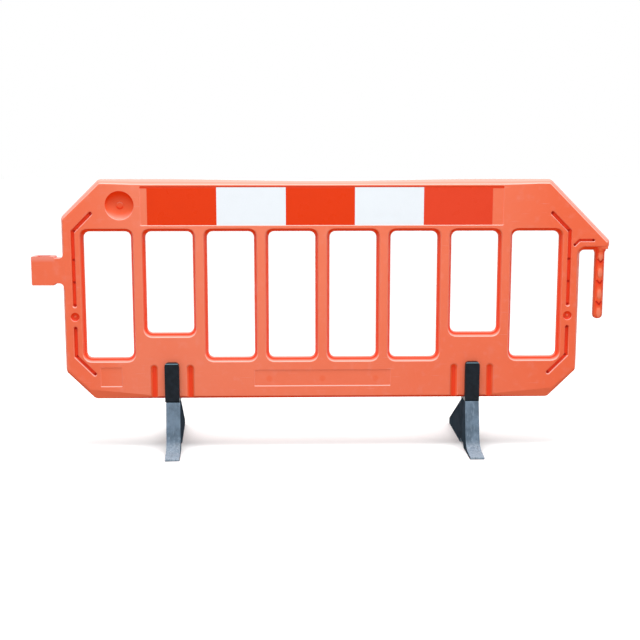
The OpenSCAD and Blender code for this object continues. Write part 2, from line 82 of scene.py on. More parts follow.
def pick(kind, test):
    """Select the corners, edges or faces that pass a test, and nothing else."""
    bpy.ops.mesh.select_mode(type=kind)
    bpy.ops.mesh.select_all(action="DESELECT")
    mesh = bmesh.from_edit_mesh(bpy.context.object.data)
    for item in {"VERT": mesh.verts, "EDGE": mesh.edges, "FACE": mesh.faces}[kind]:
        if test(item):
            item.select_set(True)
    mesh.select_flush_mode()
    bmesh.update_edit_mesh(bpy.context.object.data)


def every(item):
    """A test that everything passes."""
    return True


def at(x, z):
    """A test for the corner at a place on the front."""
    return lambda corner: abs(corner.co.x - x) < near and abs(corner.co.z - z) < near


def middle(item):
    """The middle of an edge or a face."""
    return sum((corner.co for corner in item.verts), Vector()) / len(item.verts)


print("places closer than", near, "m count as the same")

# %% [markdown]
# ## Plates with round corners
# Most outlines here start as a plain plate that faces the front. A corner is rounded by a bevel of its
# vertex. The length of the bevel along each side follows from the radius and from how far the outline
# turns there.

# %% Helpers for plates
def start(name, primitive, stretch=(1, 1, 1), **settings):
    """Add a primitive, stretch it to size and put its place into its mesh."""
    bpy.ops.object.select_all(action="DESELECT")
    primitive(**settings)
    piece = bpy.context.object
    piece.name = name
    piece.scale = stretch
    bpy.ops.object.transform_apply(location=True, rotation=True, scale=True)
    return piece


def front_plate(name, x0, x1, z0, z1, y=0):
    """Add an upright plate that faces the front."""
    return start(name, bpy.ops.mesh.primitive_plane_add, (x1 - x0, z1 - z0, 1), size=1,
                 location=((x0 + x1) / 2, y, (z0 + z1) / 2), rotation=(pi / 2, 0, 0))


def round_corner(x, z, radius, turn=90, steps=8):
    """Round the corner at a place, where the outline turns by so many degrees."""
    pick("VERT", at(x, z))
    reach = radius * tan(radians(turn) / 2)
    bpy.ops.mesh.bevel(offset_type="ABSOLUTE", offset=reach, segments=steps, affect="VERTICES")


def slice_at(place, direction, **settings):
    """Cut all of the open piece along a plane."""
    bpy.ops.mesh.select_all(action="SELECT")
    bpy.ops.mesh.bisect(plane_co=place, plane_no=direction, **settings)


def sink(rings):
    """Inset the selected face ring by ring. Each ring is a step inwards and a step down."""
    for step_in, step_down in rings:
        bpy.ops.mesh.inset(thickness=step_in, depth=-step_down, use_boundary=True, use_even_offset=True)


print("plates start 1 m square and are stretched to size")

# %% [markdown]
# ## The panel's outline
# The real panel is blown in a mould of two halves that meet at its middle. So one half is modelled, from
# the line where the halves meet out to the front face. The outline starts as one plate, and the lug at
# the right is pulled out of its edge.

# %% Pull out the lug
along = (1, 0, 0)
up = (0, 0, 1)
top = panel_high.z
base = panel_low.z
lug_reach = 103 * mm
end = panel_high.x - lug_reach
lug_base = 701 * mm

moulding = front_plate("panel_moulding", -end, end, base, top)
edit(moulding)
slice_at((0, 0, lug_base), up)
pick("EDGE", lambda edge: middle(edge).x > end - near and middle(edge).z > lug_base)
bpy.ops.mesh.extrude_edges_move(TRANSFORM_OT_translate={"value": (lug_reach, 0, 0)})
print("outline has", len(bmesh.from_edit_mesh(moulding.data).faces), "faces before the corners come off")

# %% [markdown]
# All four corners of the panel slant at 45 degrees. A bisect along each slant throws the corner away.
# The cuts leave several faces, which are made one again, so that the edge can be worked on all round.

# %% Cut the four slanting corners
top_left = 131 * mm
top_right = 109 * mm
lower = 100 * mm
slants = (
    ((top_left - end, 0, top), (-1, 0, 1)),
    ((end - top_right, 0, top), (1, 0, 1)),
    ((lower - end, 0, base), (-1, 0, -1)),
    ((end - lower, 0, base), (1, 0, -1)),
)
nearly_straight = radians(179)


def straight(corner):
    """Whether an outline runs straight on through a corner."""
    first, second = (edge.other_vert(corner).co - corner.co for edge in corner.link_edges)
    return first.angle(second) > nearly_straight


def make_one_face():
    """Make the open plate a single face."""
    bpy.ops.mesh.select_all(action="SELECT")
    bpy.ops.mesh.dissolve_faces()


def drop_straight_corners():
    """Take out the corners at which the open plate's outline doesn't turn."""
    pick("VERT", straight)
    bpy.ops.mesh.dissolve_verts()


for place, direction in slants:
    slice_at(place, direction, clear_outer=True)
make_one_face()
drop_straight_corners()
print("outline has", len(bmesh.from_edit_mesh(moulding.data).verts), "corners")

# %% [markdown]
# The corners are rounded next. The top edge of the real panel sags a little, as warm plastic does, so it
# needs points along its length that can be lowered later.

# %% Round the outline and divide the top edge
outline_radius = 20 * mm
lug_fillet = 16 * mm
lug_edge = top - top_right - lug_reach
slant_turn = 45
top_points = 40
for side in (-1, 1):
    round_corner(side * end, base + lower, outline_radius, slant_turn)
    round_corner(side * (end - lower), base, outline_radius, slant_turn)
round_corner(-end, top - top_left, outline_radius, slant_turn)
round_corner(top_left - end, top, outline_radius, slant_turn)
round_corner(end - top_right, top, outline_radius, slant_turn)
round_corner(panel_high.x, lug_edge, outline_radius, slant_turn)
round_corner(panel_high.x, lug_base, outline_radius)
round_corner(end, lug_base, lug_fillet)
pick("EDGE", lambda edge: middle(edge).z > top - near and edge.calc_length() > end)
bpy.ops.mesh.subdivide(number_cuts=top_points)
print("outline has", len(bmesh.from_edit_mesh(moulding.data).verts), "points once it is round")

# %% [markdown]
# ## The moulded edge
# A moulded edge leans back so that the mould opens, and rolls over into the face with a soft lip. The
# lip follows a curve with one control point, where the leaning side and the face would meet. The same
# curve gives the lips of the openings later.

# %% Work out the edge's section
half_depth = 25 * mm
lean = 12 / 21
lip_start = 22 * mm
lip_reach = 2 * mm


def lip(first, control, last, steps=4):
    """Points of a soft lip between a leaning side and the face: how far in, how far out."""
    points = []
    for i in range(steps + 1):
        t = i / steps
        points.append((1 - t) ** 2 * first + 2 * t * (1 - t) * control + t * t * last)
    return points


edge_corner = Vector((lean * half_depth, half_depth))
edge_section = lip(Vector((lean * lip_start, lip_start)), edge_corner, edge_corner + Vector((lip_reach, 0)))
print("the edge is", round(edge_section[-1].x / mm, 1), "mm wide")

# %% [markdown]
# The face is inset ring by ring along that section. An inset is as wide on every side, but the real edge
# is narrower below and at the ends, and wider along the top. So the points of the rings are moved
# afterwards.

# %% Raise the front face ring by ring
face_support = 0.7 * mm
lower_share = 0.8
side_share = 0.6
top_share = 1.25
top_straight = 640 * mm
top_blend = 100 * mm
edge_width = edge_section[-1].x + face_support


def within(value, low, high):
    """A number that is kept between two others."""
    return min(max(value, low), high)


def top_stretch(x):
    """How many times as wide the top edge is at a place along the panel."""
    return 1 + (top_share - 1) * within((top_straight + top_blend - abs(x)) / top_blend, 0, 1)


pick("FACE", every)
before = Vector((0, 0))
for point in edge_section:
    sink([(point.x - before.x, before.y - point.y)])
    before = point
sink([(face_support, 0)])
leave()
for corner in moulding.data.vertices:
    if corner.co.z > top - edge_width - near:
        corner.co.z = top + (corner.co.z - top) * top_stretch(corner.co.x)
    if corner.co.z < base + edge_width:
        corner.co.z = base + (corner.co.z - base) * lower_share
    if end - edge_width < abs(corner.co.x) < end:
        side = end if corner.co.x > 0 else -end
        if corner.co.z < lug_base - 2 * lug_fillet or side < 0:
            corner.co.x = side + (corner.co.x - side) * side_share
print("half of the moulding has", len(moulding.data.polygons), "faces")

# %% [markdown]
# The second half is a mirror of the first. The Mirror modifier joins the two at the meeting line, so the
# moulding becomes one closed body.

# %% Mirror the half
merge_reach = 0.005 * mm
seam_reach = 0.01 * mm


def apply(piece, kind, **settings):
    """Add a modifier to a piece and apply it."""
    choose(piece)
    change = piece.modifiers.new(kind.lower(), kind)
    for key, value in settings.items():
        setattr(change, key, value)
    bpy.ops.object.modifier_apply(modifier=change.name)


def mirror(piece, joined):
    """Mirror a piece to the rear, and join it to its mirror image where they meet if that is asked for."""
    apply(piece, "MIRROR", use_axis=(False, True, False), use_mirror_merge=joined,
          merge_threshold=seam_reach)


def merge_points(reach=merge_reach):
    """Merge the points of the open piece that lie on each other."""
    bpy.ops.mesh.select_all(action="SELECT")
    bpy.ops.mesh.remove_doubles(threshold=reach)


def close(piece):
    """Merge doubled points and turn all faces outwards."""
    edit(piece)
    merge_points()
    bpy.ops.mesh.normals_make_consistent(inside=False)
    leave()


def open_edges(piece):
    """How many edges don't lie between two faces."""
    mesh = bmesh.new()
    mesh.from_mesh(piece.data)
    count = sum(1 for edge in mesh.edges if not edge.is_manifold)
    mesh.free()
    return count


mirror(moulding, joined=True)
close(moulding)
print("the moulding has", len(moulding.data.polygons), "faces and", open_edges(moulding), "open edges")

# %% [markdown]
# ## The sleeve and the pin
# Panels hang together in a row: the pin under the lug drops into the sleeve of the next panel. Both are
# welded to the moulding, because the real ones are moulded with it. The sleeve and its neck share one
# outline, which is stretched from the front to the rear, and its rims are rounded.

# %% Outline the sleeve and its neck
sleeve_width = 78 * mm
sleeve_x = panel_low.x + sleeve_width / 2
sleeve_edge = panel_low.x + sleeve_width
sleeve_half = half_depth - 0.3 * mm
sleeve_low = 584 * mm
sleeve_high = 683.5 * mm
neck_low = 591 * mm
neck_high = 676 * mm
neck_fillet = 15 * mm
root_x = -end + 6 * mm
root_end = -end + 45 * mm
root_spare = neck_fillet + 4 * mm
root_low = neck_low - root_spare
root_high = neck_high + root_spare


def beside_link(face):
    """Whether a face lies above or below the sleeve or its neck."""
    place = middle(face)
    if place.x > root_x:
        return False
    if place.x > sleeve_edge:
        return not neck_low < place.z < neck_high
    return not sleeve_low < place.z < sleeve_high


sleeve = front_plate("sleeve", panel_low.x, root_end, root_low, root_high, -sleeve_half)
edit(sleeve)
for x in (sleeve_edge, root_x):
    slice_at((x, 0, 0), along)
for z in (neck_low, neck_high, sleeve_low, sleeve_high):
    slice_at((0, 0, z), up)
pick("FACE", beside_link)
bpy.ops.mesh.delete(type="FACE")
make_one_face()
drop_straight_corners()
print("the sleeve's outline has", len(bmesh.from_edit_mesh(sleeve.data).verts), "corners")

# %% [markdown]
# The outline's corners are rounded, and it is pulled from the front to the rear. A Boolean modifier then
# makes one body of the sleeve and the moulding.

# %% Round the sleeve and weld it on
sleeve_round = 5 * mm
neck_round = 4 * mm
soft_rim = 3 * mm


def bevel_edges(test, width, steps):
    """Round the edges that pass a test."""
    pick("EDGE", test)
    bpy.ops.mesh.bevel(offset=width, segments=steps, affect="EDGES", clamp_overlap=True)


def combine(piece, tool, how):
    """Cut a tool out of a piece, or weld it on, and delete the tool."""
    apply(piece, "BOOLEAN", object=tool, operation=how, solver="EXACT")
    bpy.data.objects.remove(tool)
    edit(piece)
    merge_points()
    leave()


for z in (sleeve_low, sleeve_high):
    round_corner(panel_low.x, z, sleeve_round, steps=4)
    round_corner(sleeve_edge, z, neck_round, steps=4)
for z in (neck_low, neck_high):
    round_corner(sleeve_edge, z, neck_round, steps=4)
    round_corner(root_x, z, neck_fillet)
pick("FACE", every)
bpy.ops.mesh.extrude_region_move(TRANSFORM_OT_translate={"value": (0, 2 * sleeve_half, 0)})
bevel_edges(lambda edge: abs(abs(middle(edge).y) - sleeve_half) < near, soft_rim, 3)
leave()
close(sleeve)
combine(moulding, sleeve, "UNION")
print("with the sleeve the moulding has", open_edges(moulding), "open edges")

# %% [markdown]
# A small boss thickens the lug's tip above the pin. It is a block with round edges that lies mostly
# inside the lug, and a union welds the two together.

# %% Weld a boss to the lug's tip
boss_half = 23.5 * mm
boss_low = (panel_high.x - 32 * mm, -boss_half, lug_base + 4 * mm)
boss_high = (panel_high.x - 9 * mm, boss_half, lug_base + 30 * mm)


def block(name, low, high):
    """Add a block between two corners."""
    low, high = Vector(low), Vector(high)
    return start(name, bpy.ops.mesh.primitive_cube_add, high - low, size=1, location=(low + high) / 2)


boss = block("boss", boss_low, boss_high)
edit(boss)
bevel_edges(every, soft_rim, 3)
leave()
combine(moulding, boss, "UNION")
print("with the boss the moulding has", open_edges(moulding), "open edges")

# %% [markdown]
# The pin is a round bar with a flared root and a round tip, so that it finds its way into the sleeve. It
# starts as a cylinder. The upper face is pulled up and widened into the root, and the lower rim is
# bevelled into the tip.

# %% Weld on the pin
pin_x = 967 * mm
pin_radius = 17.5 * mm
pin_end = 460 * mm
pin_round = 15 * mm
root = 10 * mm
root_flare = 4 * mm
root_depth = 21 * mm
pin_top = lug_base - root

pin = start("pin", bpy.ops.mesh.primitive_cylinder_add, vertices=48, radius=pin_radius,
            depth=pin_top - pin_end, location=(pin_x, 0, (pin_top + pin_end) / 2))
edit(pin)
pick("FACE", lambda face: face.normal.z > 0.9)
bpy.ops.mesh.extrude_region_move(TRANSFORM_OT_translate={"value": (0, 0, root)})
wide = 1 + root_flare / pin_radius
bpy.ops.transform.resize(value=(wide, wide, 1))
bpy.ops.mesh.extrude_region_move(TRANSFORM_OT_translate={"value": (0, 0, root_depth)})
bevel_edges(lambda edge: all(abs(corner.co.z - pin_end) < near for corner in edge.verts), pin_round, 8)
leave()
combine(moulding, pin, "UNION")
print("with the pin the moulding has", open_edges(moulding), "open edges")

# %% [markdown]
# ## Openings
# The eight openings have leaning sides with a small step half way, and soft lips. Each is modelled as
# the block that would fill it: a plate in front of the face, sunk ring by ring to the meeting line. The
# lip is narrower at the sides and at the top, where the recess of the sheets is close. The blocks are
# cut out later.

# %% Work out the openings
opening_count = 8
end_post = 75 * mm
post = 49.9 * mm
opening_low = 328 * mm
short_low = 415 * mm
opening_high = 768 * mm
opening_radius = 20 * mm
opening_width = (2 * end - 2 * end_post - (opening_count - 1) * post) / opening_count
step_foot = Vector((5.2 * mm, 10 * mm))
step_head = Vector((7.2 * mm, 10.8 * mm))
opening_lip = Vector((14.5 * mm, half_depth))
lip_from = 0.75
overshoot = 0.3
opening_rings = [Vector((0, 0)), step_foot, step_head]
lip_foot = step_head.lerp(opening_lip, lip_from)
opening_rings += lip(lip_foot, opening_lip, opening_lip + Vector((lip_reach, 0)))
opening_rings.append(opening_rings[-1] + (opening_rings[-1] - opening_rings[-2]) * overshoot)
opening_rings.reverse()
flare, flare_depth = opening_rings[0]
print(opening_count, "openings,", round(opening_width / mm, 1), "mm wide, in", len(opening_rings), "rings")

# %% [markdown]
# The rings go from the outermost, a little in front of the face, to the meeting line. The openings above
# the feet are shorter, because the rail is higher where the clamps hold it.

# %% Model a block for each opening
top_flare_share = 0.72
side_flare_share = 0.8


def cap(y):
    """Turn a sunk plate into a block: its faces look out, and its open front at a depth is closed."""
    bpy.ops.mesh.select_all(action="SELECT")
    bpy.ops.mesh.flip_normals()
    pick("EDGE", lambda edge: edge.is_boundary and abs(middle(edge).y - y) < near)
    bpy.ops.mesh.edge_face_add()


def opening_block(x0, x1, z0, z1):
    """Half of the block that fills an opening, from in front of the face to the meeting line."""
    filler = front_plate("opening_block", x0 - flare, x1 + flare, z0 - flare, z1 + flare, -flare_depth)
    edit(filler)
    for x in (x0 - flare, x1 + flare):
        for z in (z0 - flare, z1 + flare):
            round_corner(x, z, opening_radius + flare)
    pick("FACE", every)
    for outer, inner in zip(opening_rings, opening_rings[1:]):
        sink([(outer.x - inner.x, outer.y - inner.y)])
    bpy.ops.mesh.delete(type="ONLY_FACE")
    cap(-flare_depth)
    leave()
    for corner in filler.data.vertices:
        if corner.co.z > z1:
            corner.co.z = z1 + (corner.co.z - z1) * top_flare_share
        side = within(corner.co.x, x0, x1)
        corner.co.x = side + (corner.co.x - side) * side_flare_share
    return filler


cutters = []
for i in range(opening_count):
    x = -end + end_post + i * (opening_width + post)
    above_foot = i in (1, opening_count - 2)
    low = short_low if above_foot else opening_low
    cutters.append(opening_block(x, x + opening_width, low, opening_high))
print(len(cutters), "blocks, one for each opening")

# %% [markdown]
# ## Grooves
# Grooves stiffen the two end posts and the lug. Each is a straight channel with a round end that bends
# off at 45 degrees. The channel is modelled upright at the origin: its end is pulled out along the
# slant, and the corners of both ends are rounded by half of the width. Then it is turned and moved to
# its place.

# %% Helpers for grooves
face_y = -half_depth
stand_off = 0.4 * mm
nearly_half = 0.999


def shift(test, move):
    """Move the corners that pass a test."""
    pick("VERT", test)
    bpy.ops.transform.translate(value=move)


def round_ends(places, half):
    """Round the corners at the ends of a channel into half circles, a hair short of meeting each other."""
    for x, z in places:
        round_corner(x, z, half * nearly_half, steps=6)
    merge_points(near)


def sink_cutter(cutter, rings):
    """Sink the open plate of a cutter and close its front."""
    pick("FACE", every)
    sink(rings)
    cap(face_y - stand_off)
    leave()
    return cutter


def put(piece, x, z, turn=0):
    """Turn a piece about the line of sight and move it to a place on the front."""
    choose(piece)
    piece.rotation_euler = (0, radians(turn), 0)
    piece.location = (x, 0, z)
    bpy.ops.object.transform_apply(location=True, rotation=True, scale=True)
    return piece


print("cutters start", stand_off / mm, "mm in front of the face")

# %% [markdown]
# Each groove falls off softly from the face, drops steeply and ends on a flat floor. Those are the rings
# below, each a step inwards and a step down. The lug's groove is narrower, so its rings are smaller.

# %% Model the bent channels
groove_x = 856 * mm
groove_half = 9.5 * mm
groove_run = 62 * mm
upper_groove = (513 * mm, 768 * mm)
lower_groove = (433 * mm, 334 * mm)
lug_groove = (939 * mm, 736 * mm)
lug_groove_length = 49 * mm
lug_groove_run = 16 * mm
lug_groove_half = 6.5 * mm
channel_rings = (
    (1.4 * mm, 0.7 * mm),
    (1.3 * mm, 1.1 * mm),
    (0.8 * mm, 1.6 * mm),
    (0.5 * mm, 5.0 * mm),
    (0.8 * mm, 2.2 * mm),
    (0.7 * mm, 0.5 * mm),
)
lug_ring_width = 0.6
lug_ring_depth = 0.8
lug_rings = [(step_in * lug_ring_width, step_down * lug_ring_depth) for step_in, step_down in channel_rings]


def bent_channel(length, run, side, half, rings):
    """A channel from the origin, up or down by a length, that bends off to one side."""
    rise = 1 if length > 0 else -1
    foot = -rise * half
    channel = front_plate("groove", -half, half, min(foot, length), max(foot, length), face_y - stand_off)
    edit(channel)
    pick("EDGE", lambda edge: abs(middle(edge).z - length) < near)
    bpy.ops.mesh.extrude_edges_move(TRANSFORM_OT_translate={"value": (-side * run, 0, rise * run)})
    mitre = half * tan(pi / 8)
    spread = sqrt(2) * half
    outer, inner = side * half, -side * half
    tip_x, tip_z = -side * run, length + rise * run
    shift(at(outer, length), (0, 0, rise * mitre))
    shift(at(inner, length), (0, 0, -rise * mitre))
    shift(at(outer - side * run, tip_z), (-side * half, 0, rise * spread))
    shift(at(inner - side * run, tip_z), (side * half - side * spread, 0, 0))
    make_one_face()
    tip = [(tip_x, tip_z + rise * spread), (tip_x - side * spread, tip_z)]
    round_ends([(outer, foot), (inner, foot)] + tip, half)
    return sink_cutter(channel, rings)


for side in (-1, 1):
    for foot_z, bend_z in (upper_groove, lower_groove):
        channel = bent_channel(bend_z - foot_z, groove_run, side, groove_half, channel_rings)
        cutters.append(put(channel, side * groove_x, foot_z))
channel = bent_channel(lug_groove_length, lug_groove_run, 1, lug_groove_half, lug_rings)
cutters.append(put(channel, *lug_groove, turn=-90))
print(len(cutters), "cutters so far")

# %% [markdown]
# ## Straight grooves
# Two short upright grooves stand beside each foot's clamp. They are straight plates with round ends,
# sunk like the channels but wider, and they run out through the lower edge. They pass close to the
# facets there, so they are cut in a step of their own.

# %% Model the grooves beside the clamps
clamp_low, clamp_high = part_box("right_bracket")
foot_x = (clamp_low.x + clamp_high.x) / 2
side_offset = 63 * mm
side_half = 15.5 * mm
side_low = 170 * mm
side_high = 306 * mm
side_rings = (
    (2.0 * mm, 1.6 * mm),
    (2.4 * mm, 2.4 * mm),
    (2.8 * mm, 3.4 * mm),
    (3.0 * mm, 1.8 * mm),
    (2.8 * mm, 0.6 * mm),
)


def straight_channel(x):
    """An upright channel with round ends."""
    x0, x1 = x - side_half, x + side_half
    channel = front_plate("groove", x0, x1, side_low, side_high, face_y - stand_off)
    edit(channel)
    round_ends([(x0, side_low), (x1, side_low), (x0, side_high), (x1, side_high)], side_half)
    return sink_cutter(channel, side_rings)


side_grooves = []
for side in (1, -1):
    for offset in (side_offset, -side_offset):
        side_grooves.append(straight_channel(side * foot_x + offset))
print(len(side_grooves), "straight grooves, from", side_low / mm, "mm up")

# %% [markdown]
# ## Round hollows
# A dish at the top left and a small hollow in each end post are pressed into the faces. Each is a filled
# circle, sunk in rings along an arc, and a small disc stays raised in its middle.

# %% Model the dish and the small hollows
dish_place = Vector((-694 * mm, 857 * mm))
dish_radius = 50.8 * mm
dish_depth = 18 * mm
dish_disc = 12 * mm
dish_raise = 2.5 * mm
hollow_places = [Vector((side * groove_x, 473 * mm)) for side in (-1, 1)]
hollow_radius = 17 * mm
hollow_depth = 9 * mm
hollow_disc = 5 * mm
hollow_raise = 4 * mm
rim = 1.2 * mm
rim_slope = 0.5
disc_rings = ((0.1, 0.6), (0.3, 0.4))


def bowl_rings(radius, depth, steps, disc, raise_by):
    """Rings along the arc of a bowl from its soft rim to its floor, with a raised disc in the middle."""
    rings = [(rim, rim_slope * rim)]
    wide = radius - rim - disc
    before = 0
    for i in range(1, steps + 1):
        down = depth * sqrt(1 - (1 - i / steps) ** 2)
        rings.append((wide / steps, down - before))
        before = down
    for width_share, rise_share in disc_rings:
        rings.append((width_share * disc, -rise_share * raise_by))
    return rings


def round_hollow(place, radius, rings):
    """A round cutter in front of the face, sunk in rings."""
    cutter = start("hollow", bpy.ops.mesh.primitive_circle_add, vertices=48, radius=radius,
                   fill_type="NGON", location=(place.x, face_y - stand_off, place.y),
                   rotation=(pi / 2, 0, 0))
    edit(cutter)
    return sink_cutter(cutter, rings)


dish_rings = bowl_rings(dish_radius, dish_depth, 12, dish_disc, dish_raise)
cutters.append(round_hollow(dish_place, dish_radius, dish_rings))
hollow_rings = bowl_rings(hollow_radius, hollow_depth, 6, hollow_disc, hollow_raise)
for place in hollow_places:
    cutters.append(round_hollow(place, hollow_radius, hollow_rings))
print(len(cutters), "cutters with the round hollows")

# %% [markdown]
# ## Shallow recesses
# The reflective sheets lie in a long recess of the top rail, and two bare recesses sit in the lower
# rail. Each is a plate that is sunk by the depth of its recess, with a slightly leaning edge.

# %% Model the recesses
sheet_low, sheet_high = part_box("front_red_sheet_left")
recess_half = 625 * mm
recess_lean = 3 * mm
recess_low = sheet_low.z - recess_lean - 0.4 * mm
recess_high = top - edge_width * top_share - 0.6 * mm
recess_radius = 5 * mm
sheet_floor = sheet_high.y - face_y
plate_depth = 2 * mm
plate_lean = 3.4 * mm
plate_radius = 4 * mm
plate_low = 225 * mm
long_plate = (-240 * mm, 240 * mm, plate_low, 286 * mm)
short_plate = (-776 * mm, -698 * mm, plate_low, 296 * mm)


def recess(x0, x1, z0, z1, depth, radius, lean_in):
    """A shallow recess with a leaning edge and round corners."""
    cutter = front_plate("recess", x0, x1, z0, z1, face_y - stand_off)
    edit(cutter)
    for x in (x0, x1):
        for z in (z0, z1):
            round_corner(x, z, radius, steps=4)
    return sink_cutter(cutter, [(lean_in, depth + stand_off)])


sheet_recess = (-recess_half, recess_half, recess_low, recess_high)
cutters.append(recess(*sheet_recess, sheet_floor, recess_radius, recess_lean))
for plate in (long_plate, short_plate):
    cutters.append(recess(*plate, plate_depth, plate_radius, plate_lean))
print(len(cutters), "cutters with the recesses, the sheets' one from", round(recess_low / mm, 1), "mm up")

# %% [markdown]
# ## The facets of the lower corners
# Near its ends the lower edge is cut back at a flatter angle. The cutter is a block whose top is tilted:
# each of its four top corners is moved onto the plane of the facet, which falls towards the middle of
# the panel and towards the line where the halves meet.

# %% Model the tilted blocks
facet_x = 809 * mm
facet_face = 217 * mm
facet_line = 178 * mm
facet_fall = 21 / 212
facet_inner = 520 * mm
facet_outer = 920 * mm
facet_front = -40 * mm
facet_rear = -0.5 * mm
facet_low = 100 * mm
facet_high = 150 * mm


def facet_height(x, y):
    """The height of the facet's plane at a place."""
    return facet_line + (facet_face - facet_line) * abs(y) / half_depth + (abs(x) - facet_x) * facet_fall


for side in (-1, 1):
    x0, x1 = sorted((side * facet_inner, side * facet_outer))
    wedge = block("facet", (x0, facet_front, facet_low), (x1, facet_rear, facet_high))
    for corner in wedge.data.vertices:
        if corner.co.z > facet_high - near:
            corner.co.z = facet_height(corner.co.x, corner.co.y)
    cutters.append(wedge)
print(len(cutters), "cutters with the facets")

# %% [markdown]
# ## Cut the openings and hollows
# All the cutters are joined, mirrored to the rear and cut out in one go. The exact solver is slower than
# the other one, but it keeps thin rings clean. The moulding's large faces are divided between the
# openings first, so that no face has more than one opening in it.

# %% Cut them out
divide_low = opening_low - 5 * mm
divide_high = opening_high - 30 * mm


def join(pieces):
    """Join several pieces into the first of them."""
    choose(pieces[0])
    for piece in pieces:
        piece.select_set(True)
    bpy.ops.object.join()
    return pieces[0]


def for_both_faces(pieces, joined=False):
    """Join tools for the front and mirror them to the rear."""
    tool = join(pieces)
    mirror(tool, joined)
    print("a tool with", len(tool.data.polygons), "faces has", open_edges(tool), "open edges")
    return tool


edit(moulding)
for i in range(opening_count + 1):
    slice_at((-end + end_post - post / 2 + i * (opening_width + post), 0, 0), along)
for z in (divide_low, divide_high):
    slice_at((0, 0, z), up)
leave()
combine(moulding, for_both_faces(cutters, joined=True), "DIFFERENCE")
print("the moulding has", open_edges(moulding), "open edges with its openings")
combine(moulding, for_both_faces(side_grooves, joined=True), "DIFFERENCE")
print("the moulding has", open_edges(moulding), "open edges with its straight grooves")

# %% [markdown]
# The pin of the next panel drops into a hole in the sleeve. The hole is wider than the pin, so that a
# row of panels can follow a bend. It is cut with a block whose upright edges are rounded, and that is
# longer than the sleeve.

# %% Cut the sleeve's hole
hole_half = Vector((23 * mm, 21 * mm, 10 * mm))
hole_round = 14 * mm
hole_low = Vector((sleeve_x, 0, sleeve_low)) - hole_half
hole_high = Vector((sleeve_x, 0, sleeve_high)) + hole_half
hole = block("hole", hole_low, hole_high)
edit(hole)
bevel_edges(lambda edge: abs(edge.verts[0].co.z - edge.verts[1].co.z) > near, hole_round, 6)
leave()
combine(moulding, hole, "DIFFERENCE")
close(moulding)
print("the moulding has", len(moulding.data.polygons), "faces and", open_edges(moulding), "open edges")

# %% [markdown]
# ## Pits
# Small pits sit along the grooves, where the two halves of the moulding touch each other. Each is cut
# with a cylinder whose inner rim is rounded.

# %% Press the pits
pit_radius = 4.8 * mm
pit_round = 2 * mm
pit_floor = 9 * mm
pit_start = 15.5 * mm
pit_front = pit_start + 4 * mm
upper_pits = ((0, 0), (0, 80 * mm), (0, 158 * mm), (-4 * mm, 257 * mm), (-groove_run, 317 * mm))
lower_pits = ((0, 0), (-3 * mm, -99 * mm), (-groove_run, -162 * mm))
right_pits = [(groove_x + x, upper_groove[0] + z) for x, z in upper_pits]
right_pits += [(groove_x + x, lower_groove[0] + z) for x, z in lower_pits]
pit_places = [Vector((side * x, z)) for x, z in right_pits for side in (-1, 1)]
lug_bend = Vector((lug_groove_length + lug_groove_run, lug_groove_run))
pit_places += [Vector(lug_groove), Vector(lug_groove) - lug_bend]

pits = []
for place in pit_places:
    pit = start("pit", bpy.ops.mesh.primitive_cylinder_add, vertices=20, radius=pit_radius,
                depth=pit_front - pit_floor, location=(place.x, -(pit_front + pit_floor) / 2, place.y),
                rotation=(pi / 2, 0, 0))
    edit(pit)
    bevel_edges(lambda edge: abs(middle(edge).y + pit_floor) < near, pit_round, 3)
    leave()
    pits.append(pit)
combine(moulding, for_both_faces(pits), "DIFFERENCE")
print(len(pit_places), "pits on each face,", open_edges(moulding), "open edges")

# %% [markdown]
# ## The pin's marks
# The pin carries three marks in the shape of a V on each side. Each is cut with two narrow bars that
# lean against each other. Raised ovals sit between the marks: spheres that are stretched and sunk into
# the pin.

# %% Mark the pin
mark_heights = (658 * mm, 584 * mm, 510 * mm)
bar_long = 16 * mm
bar_half = 2.3 * mm
bar_depth = 5 * mm
bar_angle = 40
bar_lap = 0.3 * mm
bar_low = (-bar_half, -pin_radius - 2 * mm, 0)
bar_high = (bar_half, bar_depth - pin_radius, bar_long)
oval_size = (9 * mm, 3.6 * mm, 19 * mm)
oval_heights = (682 * mm, 621 * mm, 547 * mm, 482 * mm)
oval_y = 1.2 * mm - pin_radius

marks = []
for z in mark_heights:
    bars = []
    for side in (-1, 1):
        bar = block("bar", bar_low, bar_high)
        bars.append(put(bar, pin_x, z - side * bar_lap, side * bar_angle))
    combine(*bars, "UNION")
    marks.append(bars[0])
combine(moulding, for_both_faces(marks), "DIFFERENCE")
ovals = []
for z in oval_heights:
    ovals.append(start("oval", bpy.ops.mesh.primitive_uv_sphere_add, oval_size, segments=24, ring_count=12,
                       radius=1, location=(pin_x, oval_y, z)))
combine(moulding, for_both_faces(ovals), "UNION")
close(moulding)
print("the pin has", 2 * len(mark_heights), "marks and the moulding", open_edges(moulding), "open edges")

# %% [markdown]
# ## The sag of the top edge
# The top edge dips by a few millimetres between the ends, most in the middle. Only the leaning strip
# above the recess follows it, because the sheets below lie straight.

# %% Lower the middle of the top edge
sag = 6.5 * mm
sag_half = 580 * mm
strip_foot = top - edge_section[-1].x * top_share
moulding_angle = 28


def smooth(piece, angle):
    """Smooth a piece, apart from edges sharper than an angle. Large faces stay flat."""
    choose(piece)
    bpy.ops.object.shade_smooth_by_angle(angle=radians(angle))
    apply(piece, "WEIGHTED_NORMAL", keep_sharp=True, weight=100)


for corner in moulding.data.vertices:
    if corner.co.z > strip_foot and abs(corner.co.x) < sag_half:
        share = (corner.co.z - strip_foot) / (top - strip_foot)
        corner.co.z -= sag * share * (1 + cos(pi * corner.co.x / sag_half)) / 2
smooth(moulding, moulding_angle)
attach(moulding, "panel_frame")
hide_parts("panel")
print("the moulding spans", [round(size, 3) for size in moulding.dimensions])

